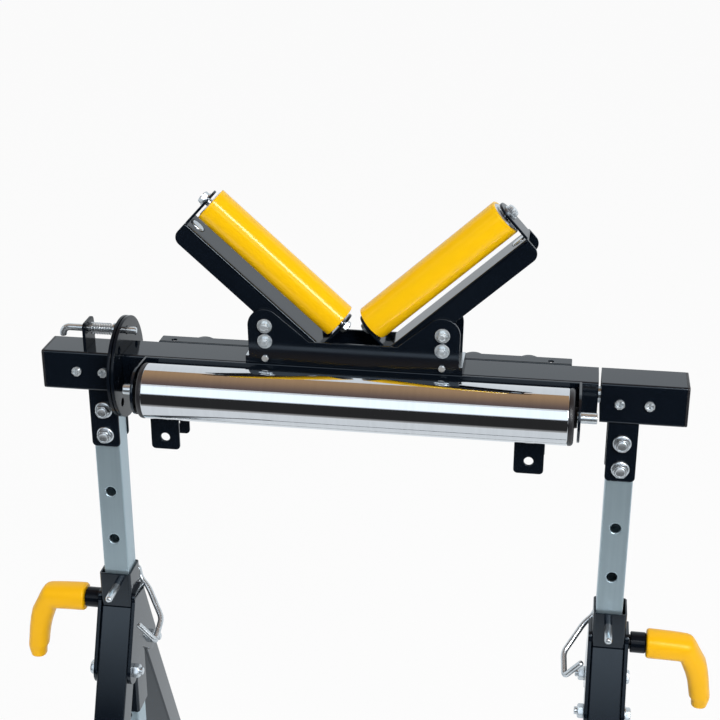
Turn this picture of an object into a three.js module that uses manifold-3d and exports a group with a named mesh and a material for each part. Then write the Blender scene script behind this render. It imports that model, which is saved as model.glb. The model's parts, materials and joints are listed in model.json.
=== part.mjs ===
// Folding roller stand with a turning head: V rollers, flat roller, ball row and timber tabs.
// Millimetres. X runs along the beam, -Y is the front, Z is up from the floor.
import * as THREE from 'three';
import { mergeVertices } from 'three/addons/utils/BufferGeometryUtils.js';
import Module from 'manifold-3d';

const wasm = await Module();
wasm.setup();

// Clearances and softened ends
const fitGap = 0.3;
const weldGap = 0.1;
const weldLap = 0.5;
const softEnd = 2;

// Beam tube, its two fixed end stubs and the index discs between them
const stubOverhang = 57.7;
const beamSide = 40;
const beamWall = 2;
const beamCorner = 3;
const leftStubLength = 74.5;
const rightStubLength = 80.5;
const endGap = 2.5;
const capPlate = 2.5;
const capInsert = 10;
const discRadius = 50;
const discThickness = 3;
const discGap = 1;
const indexHoles = 8;
const indexCircle = 38;
const indexHoleRadius = 4.2;

// Spindles that carry the beam, and the nylon blocks they turn in
const spindleRadius = 8;
const spindleReach = 42;
const spindlePlug = 30;
const blockLength = 46;
const blockInset = 3;

// Sprung index plunger on the left stub
const plungerRadius = 3.5;
const plungerReach = 59;
const plungerBend = 7;
const plungerTail = 9;
const plungerNoseGap = 0.6;
const plungerCollarRadius = 6;
const plungerCollarLength = 2.5;
const plungerCollarInset = 4;
const guideSpacing = 32;
const guideThickness = 3;
const guideWidth = 28;
const guideRise = 8.5;
const guideCorner = 5;
const springWire = 1.4;
const springRadius = 5.4;
const springTurns = 8;

// Posts, their brackets under the stubs, and the bolts
const postSpacing = 503.6;
const postSide = 26;
const postWall = 2;
const postCorner = 2;
const postLength = 558;
const postPitch = 54.2;
const postHoleRadius = 5.1;
const postHolesUp = 2;
const postHolesDown = 5;
const bracketWidth = 28.6;
const bracketDrop = 62;
const bracketSheet = 2.5;
const bracketCorner = 4;
const postBoltRadius = 4;
const postBoltFlange = 8.8;
const postBoltFlangeHeight = 2;
const postBoltHex = 6.8;
const postBoltHexHeight = 5;
const postBoltUpper = 22;
const postBoltLower = 49;

// Leg brackets: sleeve tube between two cheek plates
const sleeveTop = 578;
const sleeveLength = 170;
const sleeveWall = 2;
const sleeveSlack = 3;
const postShow = 146;
const cheekSheet = 3.5;
const cheekTop = 24;
const cheekCorner = 6;
const cheekLobe = 14.5;
const cheekLobeArc = 160;
const cheekNotch = 96;
const cheekShoulder = 33;
const sightHoleRadius = 5;
const sightHoleDrop = 27;
const sightHoleForward = 4;

// Lock pins and their wire bails
const pinRadius = 4;
const pinDrop = 14.5;
const pinFront = 27.5;
const pinHeadRadius = 7;
const pinHeadLength = 14;
const bailBack = 9.5;
const bailWire = 2.6;
const bailBend = 5;

// Clamp handles
const clampDrop = 40;
const bossRadius = 10.5;
const bossLength = 17.5;
const bossNeck = 2;
const bossNeckRadius = 7.5;
const studRadius = 4.8;
const gripRadius = 14.5;
const gripBarrel = 26;
const gripCorner = 52;
const gripReach = 59;
const gripElbow = 62;
const gripDrop = 79.5;
const gripArmRadius = 10.3;
const gripTipRadius = 6;
const gripTipLength = 10;
const rightGripLean = 10;

// Legs, crossbars and feet
const splay = 25;
const pivotY = 33;
const pivotDrop = 104.5;
const legHead = 66;
const legDepth = 28;
const legWall = 2;
const legCorner = 3;
const legFloorGap = 8;
const pivotBoltRadius = 4;
const pivotBoltHex = 7.5;
const pivotBoltHead = 6.3;
const pivotBoltNut = 9.6;
const crossbarSide = 25;
const crossbarWall = 1.5;
const crossbarHeight = 130;
const footWall = 3;
const footHeight = 42;
const footCorner = 5;

// Flat roller and its carrier on the front of the beam
const rollerOffset = 4;
const rollerRadius = 26.3;
const rollerWall = 2;
const rollerMargin = 29.75;
const rollerForward = 52;
const rollerDrop = 1.5;
const rollerCapLength = 5.2;
const rollerCapHub = 12;
const rollerSideGap = 3;
const axleRadius = 5;
const axleProud = 15;
const carrierSheet = 2.5;
const carrierLobe = 23;
const carrierHeel = 16;

// Row of ball transfer units on the back of the beam
const ballCount = 7;
const ballEndMargin = 41.2;
const ballRadius = 12.7;
const ballBack = 22;
const ballCupRadius = 18.5;
const ballCupLip = 5;
const ballCupGap = 0.9;
const ballCarrierMargin = 25.25;
const ballCarrierSheet = 2.5;
const ballCarrierFlange = 16;

// V rollers, their channels and the base they bolt to
const vOffset = -2;
const vAngle = 42.2;
const vRollerRadius = 17.5;
const vRollerLength = 164.4;
const vLowX = 15.5;
const vLowZ = 59.2;
const vAxleRadius = 4;
const vAxleHead = 6.5;
const vAxleHeadLength = 5.5;
const vEndGap = 2.1;
const channelSheet = 2.5;
const channelDrop = 25;
const channelFlange = 20;
const channelCorner = 9;
const channelTab = 12;
const channelHoleRadius = 6.5;
const channelHoleInset = 13;
const vBaseInset = 4;
const vBaseSheet = 2.5;
const vBaseMid = 24;
const earSpacing = 168;
const earRadius = 16.5;
const earWrap = 40;
const earRun = 42.3;
const earHeight = 38;
const earBoltPitch = 15.3;
const earBoltHole = 3.4;

// Timber tabs under the beam
const tabOffset = -11;
const tabMargin = 49.75;
const tabWidth = 28.5;
const tabDrop = 58;
const tabSheet = 2.5;
const tabCorner = 4;
const tabHoleRadius = 4.5;
const tabHoleUp = 13;

// Sides of faceted rounds
const fine = 32;
const round = 16;
const coarse = 10;

// Places worked out from the sizes above
const half = beamSide / 2;
const standLength = postSpacing + 2 * stubOverhang;
const axisZ = sleeveTop + postShow + bracketDrop + half;
const stubLeft = -standLength / 2;
const stubLeftEnd = stubLeft + leftStubLength;
const fixedDiscEnd = stubLeftEnd + discThickness;
const turningDiscStart = fixedDiscEnd + discGap;
const beamStart = turningDiscStart + discThickness;
const stubRight = standLength / 2;
const stubRightStart = stubRight - rightStubLength;
const beamEnd = stubRightStart - endGap;
const beamMid = (beamStart + beamEnd) / 2;
const beamLength = beamEnd - beamStart;
const rollerLength = beamLength - 2 * rollerMargin;
const ballCarrierLength = beamLength - 2 * ballCarrierMargin;
const ballPitch = (ballCarrierLength - 2 * ballEndMargin) / (ballCount - 1);
const tabSpacing = beamLength - 2 * tabMargin;
const vBaseLength = earSpacing + 2 * (earRadius + vBaseInset);
const boreSide = beamSide - 2 * beamWall;
const plugSide = boreSide - 2 * fitGap;
const postX = postSpacing / 2;
const sleeveBore = postSide + sleeveSlack;
const sleeveOffset = sleeveSlack / 2 - fitGap; // each clamp screw holds its post near the sleeve's inner wall
const bracketX = postX + sleeveOffset;
const sleeveSide = sleeveBore + 2 * sleeveWall;
const sleeveHalf = sleeveSide / 2;
const pinSeat = sleeveHalf + fitGap;
const legWidth = sleeveSide - 2 * fitGap;
const cheekOuter = sleeveHalf + cheekSheet;
const pivotZ = sleeveTop - pivotDrop;
const pinZ = sleeveTop - pinDrop;
const clampZ = sleeveTop - clampDrop;
const splayAngle = THREE.MathUtils.degToRad(splay);
const vTilt = THREE.MathUtils.degToRad(vAngle);
const sides = [['left', -1], ['right', 1]];

// Finishes
const finish = (color, roughness, metalness) => ({ color, roughness, metalness });
const blackPaint = finish(0x15181c, 0.42, 0.1);
const zinc = finish(0xa9b4b8, 0.38, 0.85);
const brightZinc = finish(0xc9d0d2, 0.3, 0.9);
const chrome = finish(0xe4e6e8, 0.08, 1);
const yellowSleeve = finish(0xfac51c, 0.4, 0);
const yellowGrip = finish(0xf8b914, 0.45, 0);
const blackPlastic = finish(0x2d2b30, 0.5, 0);
const nylon = finish(0xd9d6cb, 0.55, 0);
const rubber = finish(0x1b1b1c, 0.85, 0);

// Outlines
const point = (x, y) => new THREE.Vector2(x, y);

function arc(x, y, radius, from, to, steps) {
  return Array.from({ length: steps + 1 }, (_, i) => {
    const turn = THREE.MathUtils.degToRad(from + ((to - from) * i) / steps);
    return point(x + radius * Math.cos(turn), y + radius * Math.sin(turn));
  });
}

function ring(x, y, radius, count) {
  return arc(x, y, radius, 0, 360, count).slice(0, count);
}

function roundedRect(width, height, corner, steps = 2) {
  const x = width / 2 - corner;
  const y = height / 2 - corner;
  return [
    ...arc(x, y, corner, 0, 90, steps),
    ...arc(-x, y, corner, 90, 180, steps),
    ...arc(-x, -y, corner, 180, 270, steps),
    ...arc(x, -y, corner, 270, 360, steps),
  ];
}

// Outline of a strip that hangs from the level top, with its lower corners rounded
function hangingStrip(middle, width, top, bottom, corner) {
  const left = middle - width / 2;
  const right = middle + width / 2;
  return [
    point(left, top),
    ...arc(left + corner, bottom + corner, corner, 180, 270, 3),
    ...arc(right - corner, bottom + corner, corner, 270, 360, 3),
    point(right, top),
  ];
}

// Section of a downward channel: web at the top, two flanges
function channelSection(outer, sheet, top, webTop, bottom) {
  const inner = outer - sheet;
  const web = webTop - sheet;
  return [
    point(-outer, top), point(-outer, bottom), point(-inner, bottom), point(-inner, web),
    point(inner, web), point(inner, bottom), point(outer, bottom), point(outer, top),
  ];
}

// Solids
const unit = (x, y, z) => new THREE.Vector3(x, y, z);
const outlineAlong = {
  x: new THREE.Matrix4().makeBasis(unit(0, 1, 0), unit(0, 0, 1), unit(1, 0, 0)),
  y: new THREE.Matrix4().makeBasis(unit(1, 0, 0), unit(0, 0, 1), unit(0, -1, 0)),
  z: new THREE.Matrix4(),
};
const turnedAlong = {
  x: new THREE.Matrix4().makeBasis(unit(0, 1, 0), unit(1, 0, 0), unit(0, 0, -1)),
  y: new THREE.Matrix4(),
};

// A prism along an axis: outlines are (y, z) along x, (x, z) along y and (x, y) along z
function prism(axis, a, b, outline, holes = []) {
  const from = Math.min(a, b);
  const to = Math.max(a, b);
  const shape = new THREE.Shape(outline);
  shape.holes = holes.map((hole) => new THREE.Path(hole));
  const geometry = new THREE.ExtrudeGeometry(shape, { depth: to - from, bevelEnabled: false });
  geometry.translate(0, 0, axis === 'y' ? -to : from);
  return geometry.applyMatrix4(outlineAlong[axis]);
}

function box(x0, x1, y0, y1, z0, z1) {
  const geometry = new THREE.BoxGeometry(Math.abs(x1 - x0), Math.abs(y1 - y0), Math.abs(z1 - z0));
  return geometry.translate((x0 + x1) / 2, (y0 + y1) / 2, (z0 + z1) / 2);
}

// A turned piece from its profile of [along, radius] pairs
function turned(axis, profile, count) {
  const points = profile.map(([along, radius]) => point(radius, along));
  return new THREE.LatheGeometry(points, count).applyMatrix4(turnedAlong[axis]);
}

// A round tube along a list of points, with a radius at each point and flat ends
function sweep(path, radii, count) {
  const positions = [];
  const faces = [];
  let normal = null;
  path.forEach((place, i) => {
    const ahead = path[Math.min(i + 1, path.length - 1)];
    const behind = path[Math.max(i - 1, 0)];
    const tangent = ahead.clone().sub(behind).normalize();
    const guess = normal ?? (Math.abs(tangent.z) < 0.9 ? unit(0, 0, 1) : unit(0, 1, 0));
    normal = guess.clone().addScaledVector(tangent, -guess.dot(tangent)).normalize();
    const side = tangent.clone().cross(normal);
    for (let k = 0; k < count; k += 1) {
      const turn = (2 * Math.PI * k) / count;
      const spot = place.clone()
        .addScaledVector(normal, radii[i] * Math.cos(turn))
        .addScaledVector(side, radii[i] * Math.sin(turn));
      positions.push(spot.x, spot.y, spot.z);
    }
  });
  for (let i = 0; i + 1 < path.length; i += 1) {
    for (let k = 0; k < count; k += 1) {
      const a = i * count + k;
      const b = i * count + ((k + 1) % count);
      faces.push(a, b, a + count, b, b + count, a + count);
    }
  }
  const last = (path.length - 1) * count;
  for (let k = 1; k + 1 < count; k += 1) {
    faces.push(0, k + 1, k, last, last + k, last + k + 1);
  }
  const geometry = new THREE.BufferGeometry();
  geometry.setAttribute('position', new THREE.Float32BufferAttribute(positions, 3));
  geometry.setIndex(faces);
  return geometry;
}

// A closed solid with merged corners, no flat faces and its faces turned outwards
function solid(shape) {
  if (shape instanceof wasm.Manifold) return shape;
  const bare = shape.clone();
  bare.deleteAttribute('normal');
  bare.deleteAttribute('uv');
  const merged = mergeVertices(bare, 1e-4);
  const spots = merged.attributes.position.array;
  const corner = (index) => unit(...spots.slice(3 * index, 3 * index + 3));
  const faces = [];
  let volume = 0;
  for (let i = 0; i < merged.index.count; i += 3) {
    const [a, b, c] = merged.index.array.slice(i, i + 3);
    if (a !== b && b !== c && c !== a) {
      faces.push([a, b, c]);
      volume += corner(a).dot(corner(b).cross(corner(c)));
    }
  }
  const outward = volume < 0 ? faces.map(([a, b, c]) => [a, c, b]) : faces;
  return new wasm.Manifold(new wasm.Mesh({
    numProp: 3,
    vertProperties: spots,
    triVerts: Uint32Array.from(outward.flat()),
  }));
}

const join = (...shapes) => shapes.map(solid).reduce((sum, shape) => sum.add(shape));
const cut = (base, ...tools) => tools.map(solid).reduce((sum, tool) => sum.subtract(tool), solid(base));
const overlap = (a, b) => solid(a).intersect(solid(b));

const rod = (axis, a, b, x, y, radius, count = round) => prism(axis, a, b, ring(x, y, radius, count));
const hexagon = (axis, a, b, x, y, radius) => prism(axis, a, b, ring(x, y, radius, 6));

const stand = new THREE.Group();

function addPiece(name, shape, look, place = [0, 0, 0], turnY = 0, turnZ = 0) {
  const { vertProperties, triVerts } = solid(shape).getMesh();
  const geometry = new THREE.BufferGeometry();
  geometry.setAttribute('position', new THREE.BufferAttribute(vertProperties, 3));
  geometry.setIndex(new THREE.BufferAttribute(triVerts, 1));
  geometry.computeVertexNormals();
  const mesh = new THREE.Mesh(geometry, new THREE.MeshStandardMaterial(look));
  mesh.name = name;
  mesh.position.set(...place);
  mesh.rotation.set(0, turnY, turnZ, 'ZYX');
  stand.add(mesh);
}

const onAxis = [0, 0, axisZ];
const beamOutline = roundedRect(beamSide, beamSide, beamCorner);
const beamBore = roundedRect(boreSide, boreSide, beamCorner - beamWall);
const plugOutline = roundedRect(plugSide, plugSide, beamCorner - beamWall);
const beamTube = (from, to) => prism('x', from, to, beamOutline, [beamBore]);

// Channel under a stub that takes the post, with holes for its two bolts
function postBracket(x) {
  const outer = postSide / 2 + fitGap + bracketSheet;
  const bottom = -half - bracketDrop;
  const section = channelSection(outer, bracketSheet, -half + weldLap, -half, bottom);
  const profile = hangingStrip(x, bracketWidth, -half + weldLap, bottom, bracketCorner);
  const hole = postBoltRadius + fitGap;
  const channel = prism('x', x - bracketWidth, x + bracketWidth, section);
  return cut(
    overlap(channel, prism('y', -beamSide, beamSide, profile)),
    rod('y', -beamSide, beamSide, x, -half - postBoltUpper, hole, coarse),
    rod('y', -beamSide, beamSide, x, -half - postBoltLower, hole, coarse),
  );
}

function indexDisc(from, holes) {
  const centre = ring(0, 0, spindleRadius + 2 * fitGap, round);
  return prism('x', from, from + discThickness, ring(0, 0, discRadius, fine), [centre, ...holes]);
}

// End stubs with their post brackets; the left one also carries the fixed disc and plunger guide
const guideX = stubLeftEnd - guideSpacing;
const guideOutline = [
  point(-guideWidth / 2, half - weldLap),
  point(guideWidth / 2, half - weldLap),
  ...arc(guideWidth / 2 - guideCorner, indexCircle + guideRise - guideCorner, guideCorner, 0, 90, 3),
  ...arc(guideCorner - guideWidth / 2, indexCircle + guideRise - guideCorner, guideCorner, 90, 180, 3),
];
const guideHole = ring(0, indexCircle, plungerRadius + 2 * fitGap, round);
const plungerHole = ring(0, indexCircle, indexHoleRadius, round);

addPiece('left_end_stub', join(
  beamTube(stubLeft + capPlate, stubLeftEnd + weldLap),
  indexDisc(stubLeftEnd, [plungerHole]),
  prism('x', guideX - guideThickness / 2, guideX + guideThickness / 2, guideOutline, [guideHole]),
  postBracket(-postX),
), blackPaint, onAxis);
addPiece('right_end_stub', join(
  beamTube(stubRightStart, stubRight - capPlate),
  postBracket(postX),
), blackPaint, onAxis);

for (const [side, s] of sides) {
  const end = s * standLength / 2;
  addPiece(`${side}_end_cap`, join(
    prism('x', end, end - s * capPlate, beamOutline),
    prism('x', end - s * capPlate / 2, end - s * (capPlate + capInsert), plugOutline),
  ), blackPlastic, onAxis);
}

// Nylon blocks in the stubs, and the spindles that turn in them
const blockBore = ring(0, 0, spindleRadius + fitGap, round);
const leftBlockEnd = stubLeftEnd - blockInset;
const rightBlockStart = stubRightStart + blockInset;
const bearingBlock = (from) => prism('x', from, from + blockLength, plugOutline, [blockBore]);
addPiece('left_bearing_block', bearingBlock(leftBlockEnd - blockLength), nylon, onAxis);
addPiece('right_bearing_block', bearingBlock(rightBlockStart), nylon, onAxis);
addPiece('left_spindle', join(
  prism('x', beamStart, beamStart + spindlePlug, plugOutline),
  rod('x', leftBlockEnd - spindleReach, beamStart + weldLap, 0, 0, spindleRadius),
), brightZinc, onAxis);
addPiece('right_spindle', join(
  prism('x', beamEnd, beamEnd - spindlePlug, plugOutline),
  rod('x', beamEnd - weldLap, rightBlockStart + spindleReach, 0, 0, spindleRadius),
), brightZinc, onAxis);

// Index plunger: a bent rod with a collar, pushed towards the discs by its spring
const collarEnd = stubLeftEnd - plungerCollarInset;
const collarStart = collarEnd - plungerCollarLength;
const tailX = stubLeftEnd - plungerReach;
const plungerPath = [unit(turningDiscStart - plungerNoseGap, 0, indexCircle)];
for (const step of [0, 22.5, 45, 67.5, 90]) {
  const turn = THREE.MathUtils.degToRad(step);
  plungerPath.push(unit(
    tailX + plungerBend * (1 - Math.sin(turn)),
    0,
    indexCircle - plungerBend * (1 - Math.cos(turn)),
  ));
}
plungerPath.push(unit(tailX, 0, indexCircle - plungerTail));
addPiece('plunger_pin', join(
  sweep(plungerPath, plungerPath.map(() => plungerRadius), round),
  rod('x', collarStart, collarEnd, 0, indexCircle, plungerCollarRadius),
), brightZinc, onAxis);

// Plunger spring between the guide and the collar: one wire with straight ends
const springFrom = guideX + guideThickness / 2 + fitGap;
const springTo = collarStart - fitGap;
const springSteps = 8;
const springSides = 5;
const coilFrom = springFrom + springWire + springWire / 2;
const coilTo = springTo - springWire - springWire / 2;
const springPath = [unit(springFrom, 0, indexCircle + springRadius)];
springPath.push(unit(springFrom + springWire, 0, indexCircle + springRadius));
for (let i = 1; i < springTurns * springSteps; i += 1) {
  const turn = (2 * Math.PI * i) / springSteps;
  springPath.push(unit(
    coilFrom + ((coilTo - coilFrom) * i) / (springTurns * springSteps),
    springRadius * Math.sin(turn),
    indexCircle + springRadius * Math.cos(turn),
  ));
}
springPath.push(unit(springTo - springWire, 0, indexCircle + springRadius));
springPath.push(unit(springTo, 0, indexCircle + springRadius));
addPiece('plunger_spring', sweep(springPath, springPath.map(() => springWire / 2), springSides),
  brightZinc, onAxis);

function leastSelfGap(path, wire, apart) {
  let least = Infinity;
  path.forEach((a, i) => path.slice(i + apart).forEach((b) => {
    least = Math.min(least, a.distanceTo(b) - wire);
  }));
  return least;
}
const springGap = leastSelfGap(springPath, springWire, springSteps - 2);
console.log(`plunger_spring least gap ${springGap.toFixed(2)} mm`);

// Turning beam with its index disc and the straps whose ends are the timber tabs
const turningHoles = Array.from({ length: indexHoles }, (_, i) => {
  const turn = Math.PI / 2 + (2 * Math.PI * i) / indexHoles;
  return ring(indexCircle * Math.cos(turn), indexCircle * Math.sin(turn), indexHoleRadius, coarse);
});

function timberStrap(x) {
  const bottom = -half - tabDrop;
  const section = channelSection(half, tabSheet, -half + weldLap, -half, bottom);
  const profile = hangingStrip(x, tabWidth, -half + weldLap, bottom, tabCorner);
  const strap = prism('x', x - tabWidth, x + tabWidth, section);
  return cut(
    overlap(strap, prism('y', -beamSide, beamSide, profile)),
    rod('y', -beamSide, beamSide, x, bottom + tabHoleUp, tabHoleRadius, coarse),
  );
}

const tabMid = beamMid + tabOffset;
addPiece('head_beam', join(
  beamTube(beamStart - weldLap, beamEnd),
  indexDisc(turningDiscStart, turningHoles),
  timberStrap(tabMid - tabSpacing / 2),
  timberStrap(tabMid + tabSpacing / 2),
), blackPaint, onAxis);

// Flat roller: carrier, axle, chromed tube and two end caps
const rollerMid = beamMid + rollerOffset;
const capEnd = rollerLength / 2 + rollerCapLength;
const carrierInner = capEnd + rollerSideGap;
const carrierOuter = carrierInner + carrierSheet;
const carrierEnd = [
  point(-half, half),
  ...arc(-rollerForward, -rollerDrop, carrierLobe, 90, 270, 12),
  point(-half, -carrierHeel),
];
const carrierHole = ring(-rollerForward, -rollerDrop, axleRadius + fitGap, round);
const carrierFlange = (s) => prism('x', rollerMid + s * carrierInner, rollerMid + s * carrierOuter,
  carrierEnd, [carrierHole]);
addPiece('roller_carrier', join(
  box(rollerMid - carrierOuter, rollerMid + carrierOuter, -half - carrierSheet, -half, -carrierHeel, half),
  carrierFlange(-1),
  carrierFlange(1),
), blackPaint, onAxis);

const rollerPlace = [rollerMid, -rollerForward, axisZ - rollerDrop];
const axleEnd = carrierOuter + axleProud;
const axleChamfer = 1;
addPiece('roller_axle', turned('x', [
  [-axleEnd, 0],
  [-axleEnd, axleRadius - axleChamfer],
  [axleChamfer - axleEnd, axleRadius],
  [axleEnd - axleChamfer, axleRadius],
  [axleEnd, axleRadius - axleChamfer],
  [axleEnd, 0],
], round), brightZinc, rollerPlace);
addPiece('flat_roller', prism('x', -rollerLength / 2, rollerLength / 2,
  ring(0, 0, rollerRadius, fine), [ring(0, 0, rollerRadius - rollerWall, fine)]), chrome, rollerPlace);
const capBore = axleRadius + 2 * fitGap;
const hubRadius = rollerRadius - rollerWall - fitGap;
const capRound = 2;
for (const [side, s] of sides) {
  const seat = rollerLength / 2;
  addPiece(`${side}_roller_cap`, turned('x', [
    [s * (seat - rollerCapHub), capBore],
    [s * (seat - rollerCapHub), hubRadius],
    [s * seat, hubRadius],
    [s * seat, rollerRadius],
    [s * (capEnd - capRound), rollerRadius],
    [s * capEnd, rollerRadius - capRound],
    [s * capEnd, capBore],
    [s * (seat - rollerCapHub), capBore],
  ], 24), blackPlastic, rollerPlace);
}

// Ball transfer units: cups on a channel behind the beam, a loose ball in each
const ballY = half + ballBack;
const cupEnd = ballY + ballCupLip;
const ballXs = Array.from({ length: ballCount }, (_, i) => beamMid + (i - (ballCount - 1) / 2) * ballPitch);
const carrierBack = half + ballCarrierFlange;
const ballWeb = half + ballCarrierSheet;
const ballSection = [
  point(half, half), point(half, -half), point(carrierBack, -half),
  point(carrierBack, ballCarrierSheet - half), point(ballWeb, ballCarrierSheet - half),
  point(ballWeb, half - ballCarrierSheet), point(carrierBack, half - ballCarrierSheet),
  point(carrierBack, half),
];
const cups = ballXs.map((x) => rod('y', ballWeb - weldLap, cupEnd, x, 0, ballCupRadius, round));
const sphere = (radius) => new THREE.SphereGeometry(radius, 12, 8);
const sockets = ballXs.map((x) => sphere(ballRadius + ballCupGap).translate(x, ballY, 0));
addPiece('ball_carrier', cut(
  join(
    prism('x', beamMid - ballCarrierLength / 2, beamMid + ballCarrierLength / 2, ballSection),
    ...cups,
  ),
  ...sockets,
), blackPaint, onAxis);
ballXs.forEach((x, i) => {
  addPiece(`ball_${i + 1}`, sphere(ballRadius), chrome, [x, ballY, axisZ]);
});

// V base on top of the beam: a bottom plate and two eared flanges
const vMid = beamMid + vOffset;
const earX = earSpacing / 2;
const earEdge = vBaseLength / 2 - vBaseInset;
const baseTop = half + vBaseSheet;
const earZ = half + earHeight;
const earArc = (s, from, to, steps) => arc(s * earX, earZ, earRadius, from, to, steps);
const ear = (s) => (s > 0
  ? [...earArc(s, 0, 90, 6), ...earArc(s, 90, 90 + earWrap, 3).slice(1)]
  : [...earArc(s, 90 - earWrap, 90, 3), ...earArc(s, 90, 180, 6).slice(1)]);
const vFlange = [
  point(-earEdge, half),
  point(earEdge, half),
  ...ear(1),
  point(earX - earRun, half + vBaseMid),
  point(earRun - earX, half + vBaseMid),
  ...ear(-1),
].map((spot) => point(vMid + spot.x, spot.y));
const vInner = half - vBaseSheet;
const earBolts = [-1, 1].flatMap((s) => [0, earBoltPitch].map((down) => (
  rod('y', -beamSide, beamSide, vMid + s * earX, earZ - down, earBoltHole, coarse)
)));
addPiece('v_base', cut(
  join(
    box(vMid - vBaseLength / 2, vMid + vBaseLength / 2, -half, half, half, baseTop),
    prism('y', -half, -vInner, vFlange),
    prism('y', vInner, half, vFlange),
  ),
  ...earBolts,
), blackPaint, onAxis);

// V channels, axles and rollers, drawn along their own axis from the low end
const channelHalf = vInner - fitGap;
const tabFrom = vRollerLength + vEndGap;
const channelEnd = tabFrom + channelSheet;
const channelStart = -vEndGap - channelSheet;
const webTop = -channelDrop;
const flangeFoot = webTop - channelFlange;
const alongChannel = (x, z) => point(
  (x - vLowX) * Math.cos(vTilt) + (z - vLowZ) * Math.sin(vTilt),
  (z - vLowZ) * Math.cos(vTilt) - (x - vLowX) * Math.sin(vTilt),
);
const upperBolt = alongChannel(earX, earZ);
const lowerBolt = alongChannel(earX, earZ - earBoltPitch);
const lug = channelCorner;
const channelProfile = [
  point(channelStart + channelCorner, webTop),
  point(channelStart + channelCorner, webTop - channelFlange / 2),
  point(lowerBolt.x - lug, lowerBolt.y),
  ...arc(lowerBolt.x, lowerBolt.y, lug, 200, 310, 4),
  point(upperBolt.x + lug, Math.min(upperBolt.y, flangeFoot)),
  point(upperBolt.x + 2 * lug, flangeFoot),
  ...arc(channelEnd - channelCorner, flangeFoot + channelCorner, channelCorner, 270, 360, 4),
  point(channelEnd, webTop),
];
const endTab = [
  point(-channelTab, webTop - channelSheet / 2),
  point(channelTab, webTop - channelSheet / 2),
  ...arc(0, 0, channelTab, 0, 180, 8),
];
const axleHole = ring(0, 0, vAxleRadius + fitGap, round);
const boltHole = (spot) => rod('y', -beamSide, beamSide, spot.x, spot.y, earBoltHole, coarse);
const webHole = rod('z', webTop - 2 * channelSheet, webTop + channelSheet, tabFrom - channelHoleInset, 0,
  channelHoleRadius);
const channel = cut(
  join(
    box(channelStart, channelEnd, -channelHalf, channelHalf, webTop - channelSheet, webTop),
    prism('y', -channelHalf, channelSheet - channelHalf, channelProfile),
    prism('y', channelHalf - channelSheet, channelHalf, channelProfile),
    prism('x', tabFrom, channelEnd, endTab, [axleHole]),
    prism('x', channelStart, -vEndGap, endTab, [axleHole]),
  ),
  boltHole(upperBolt),
  boltHole(lowerBolt),
  webHole,
);
const vAxle = join(
  rod('x', channelStart - vAxleHeadLength, channelEnd + vAxleHeadLength, 0, 0, vAxleRadius),
  hexagon('x', channelStart - vAxleHeadLength, channelStart - fitGap, 0, 0, vAxleHead),
  hexagon('x', channelEnd + fitGap, channelEnd + vAxleHeadLength, 0, 0, vAxleHead),
);
const vBore = vAxleRadius + 2 * fitGap;
const vRound = 1.2;
const vRoller = turned('x', [
  [0, vBore],
  [0, vRollerRadius - vRound],
  [vRound, vRollerRadius],
  [vRollerLength - vRound, vRollerRadius],
  [vRollerLength, vRollerRadius - vRound],
  [vRollerLength, vBore],
  [0, vBore],
], 24);
for (const [side, s] of sides) {
  const place = [vMid + s * vLowX, 0, axisZ + vLowZ];
  const turnZ = s > 0 ? 0 : Math.PI;
  addPiece(`${side}_v_channel`, channel, blackPaint, place, -vTilt, turnZ);
  addPiece(`${side}_v_axle`, vAxle, brightZinc, place, -vTilt, turnZ);
  addPiece(`${side}_v_roller`, vRoller, yellowSleeve, place, -vTilt, turnZ);
}

// Posts: zinc tubes with a row of lock holes and the two bolt holes at the top
const postTop = axisZ - half - bracketSheet - fitGap;
const postHoles = [];
for (let i = -postHolesDown; i <= postHolesUp; i += 1) {
  postHoles.push(pinZ + i * postPitch);
}
const postBoltZs = [axisZ - half - postBoltUpper, axisZ - half - postBoltLower];
const postTube = cut(
  prism('z', postTop - postLength, postTop, roundedRect(postSide, postSide, postCorner),
    [roundedRect(postSide - 2 * postWall, postSide - 2 * postWall, postCorner / 2, 1)]),
  ...postHoles.map((z) => rod('y', -postSide, postSide, 0, z, postHoleRadius, coarse)),
  ...postBoltZs.map((z) => rod('y', -postSide, postSide, 0, z, postBoltRadius + fitGap, coarse)),
);
const bracketFace = postSide / 2 + fitGap + bracketSheet;
const boltFace = bracketFace + fitGap;
const postBolt = join(
  rod('y', -boltFace - postBoltFlangeHeight, boltFace + postBoltHexHeight, 0, 0, postBoltRadius, coarse),
  rod('y', -boltFace - postBoltFlangeHeight, -boltFace, 0, 0, postBoltFlange, round),
  hexagon('y', -boltFace - postBoltFlangeHeight - postBoltHexHeight, -boltFace - postBoltFlangeHeight / 2,
    0, 0, postBoltHex),
  hexagon('y', boltFace, boltFace + postBoltHexHeight, 0, 0, postBoltHex),
);

// Leg bracket: sleeve, two A-shaped cheeks and the threaded boss of the clamp on the outer side
const lobeSide = (s) => {
  const slope = s > 0 ? splay : -splay;
  const start = s > 0 ? slope : 180 + slope;
  const spots = arc(s * pivotY, pivotZ, cheekLobe, start, start - s * cheekLobeArc, 6);
  return s > 0 ? spots : spots.reverse();
};
const cheekArcX = sleeveHalf - cheekCorner;
const cheekArcZ = sleeveTop - cheekTop - cheekCorner;
const cheekOutline = [
  ...arc(-cheekArcX, cheekArcZ, cheekCorner, 90, 180, 3),
  point(-sleeveHalf, sleeveTop - cheekShoulder),
  ...lobeSide(-1).reverse(),
  point(0, sleeveTop - cheekNotch),
  ...lobeSide(1).reverse(),
  point(sleeveHalf, sleeveTop - cheekShoulder),
  ...arc(cheekArcX, cheekArcZ, cheekCorner, 0, 90, 3),
];
const cheekHoles = [-1, 1].map((s) => ring(s * pivotY, pivotZ, pivotBoltRadius + fitGap, coarse));

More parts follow.
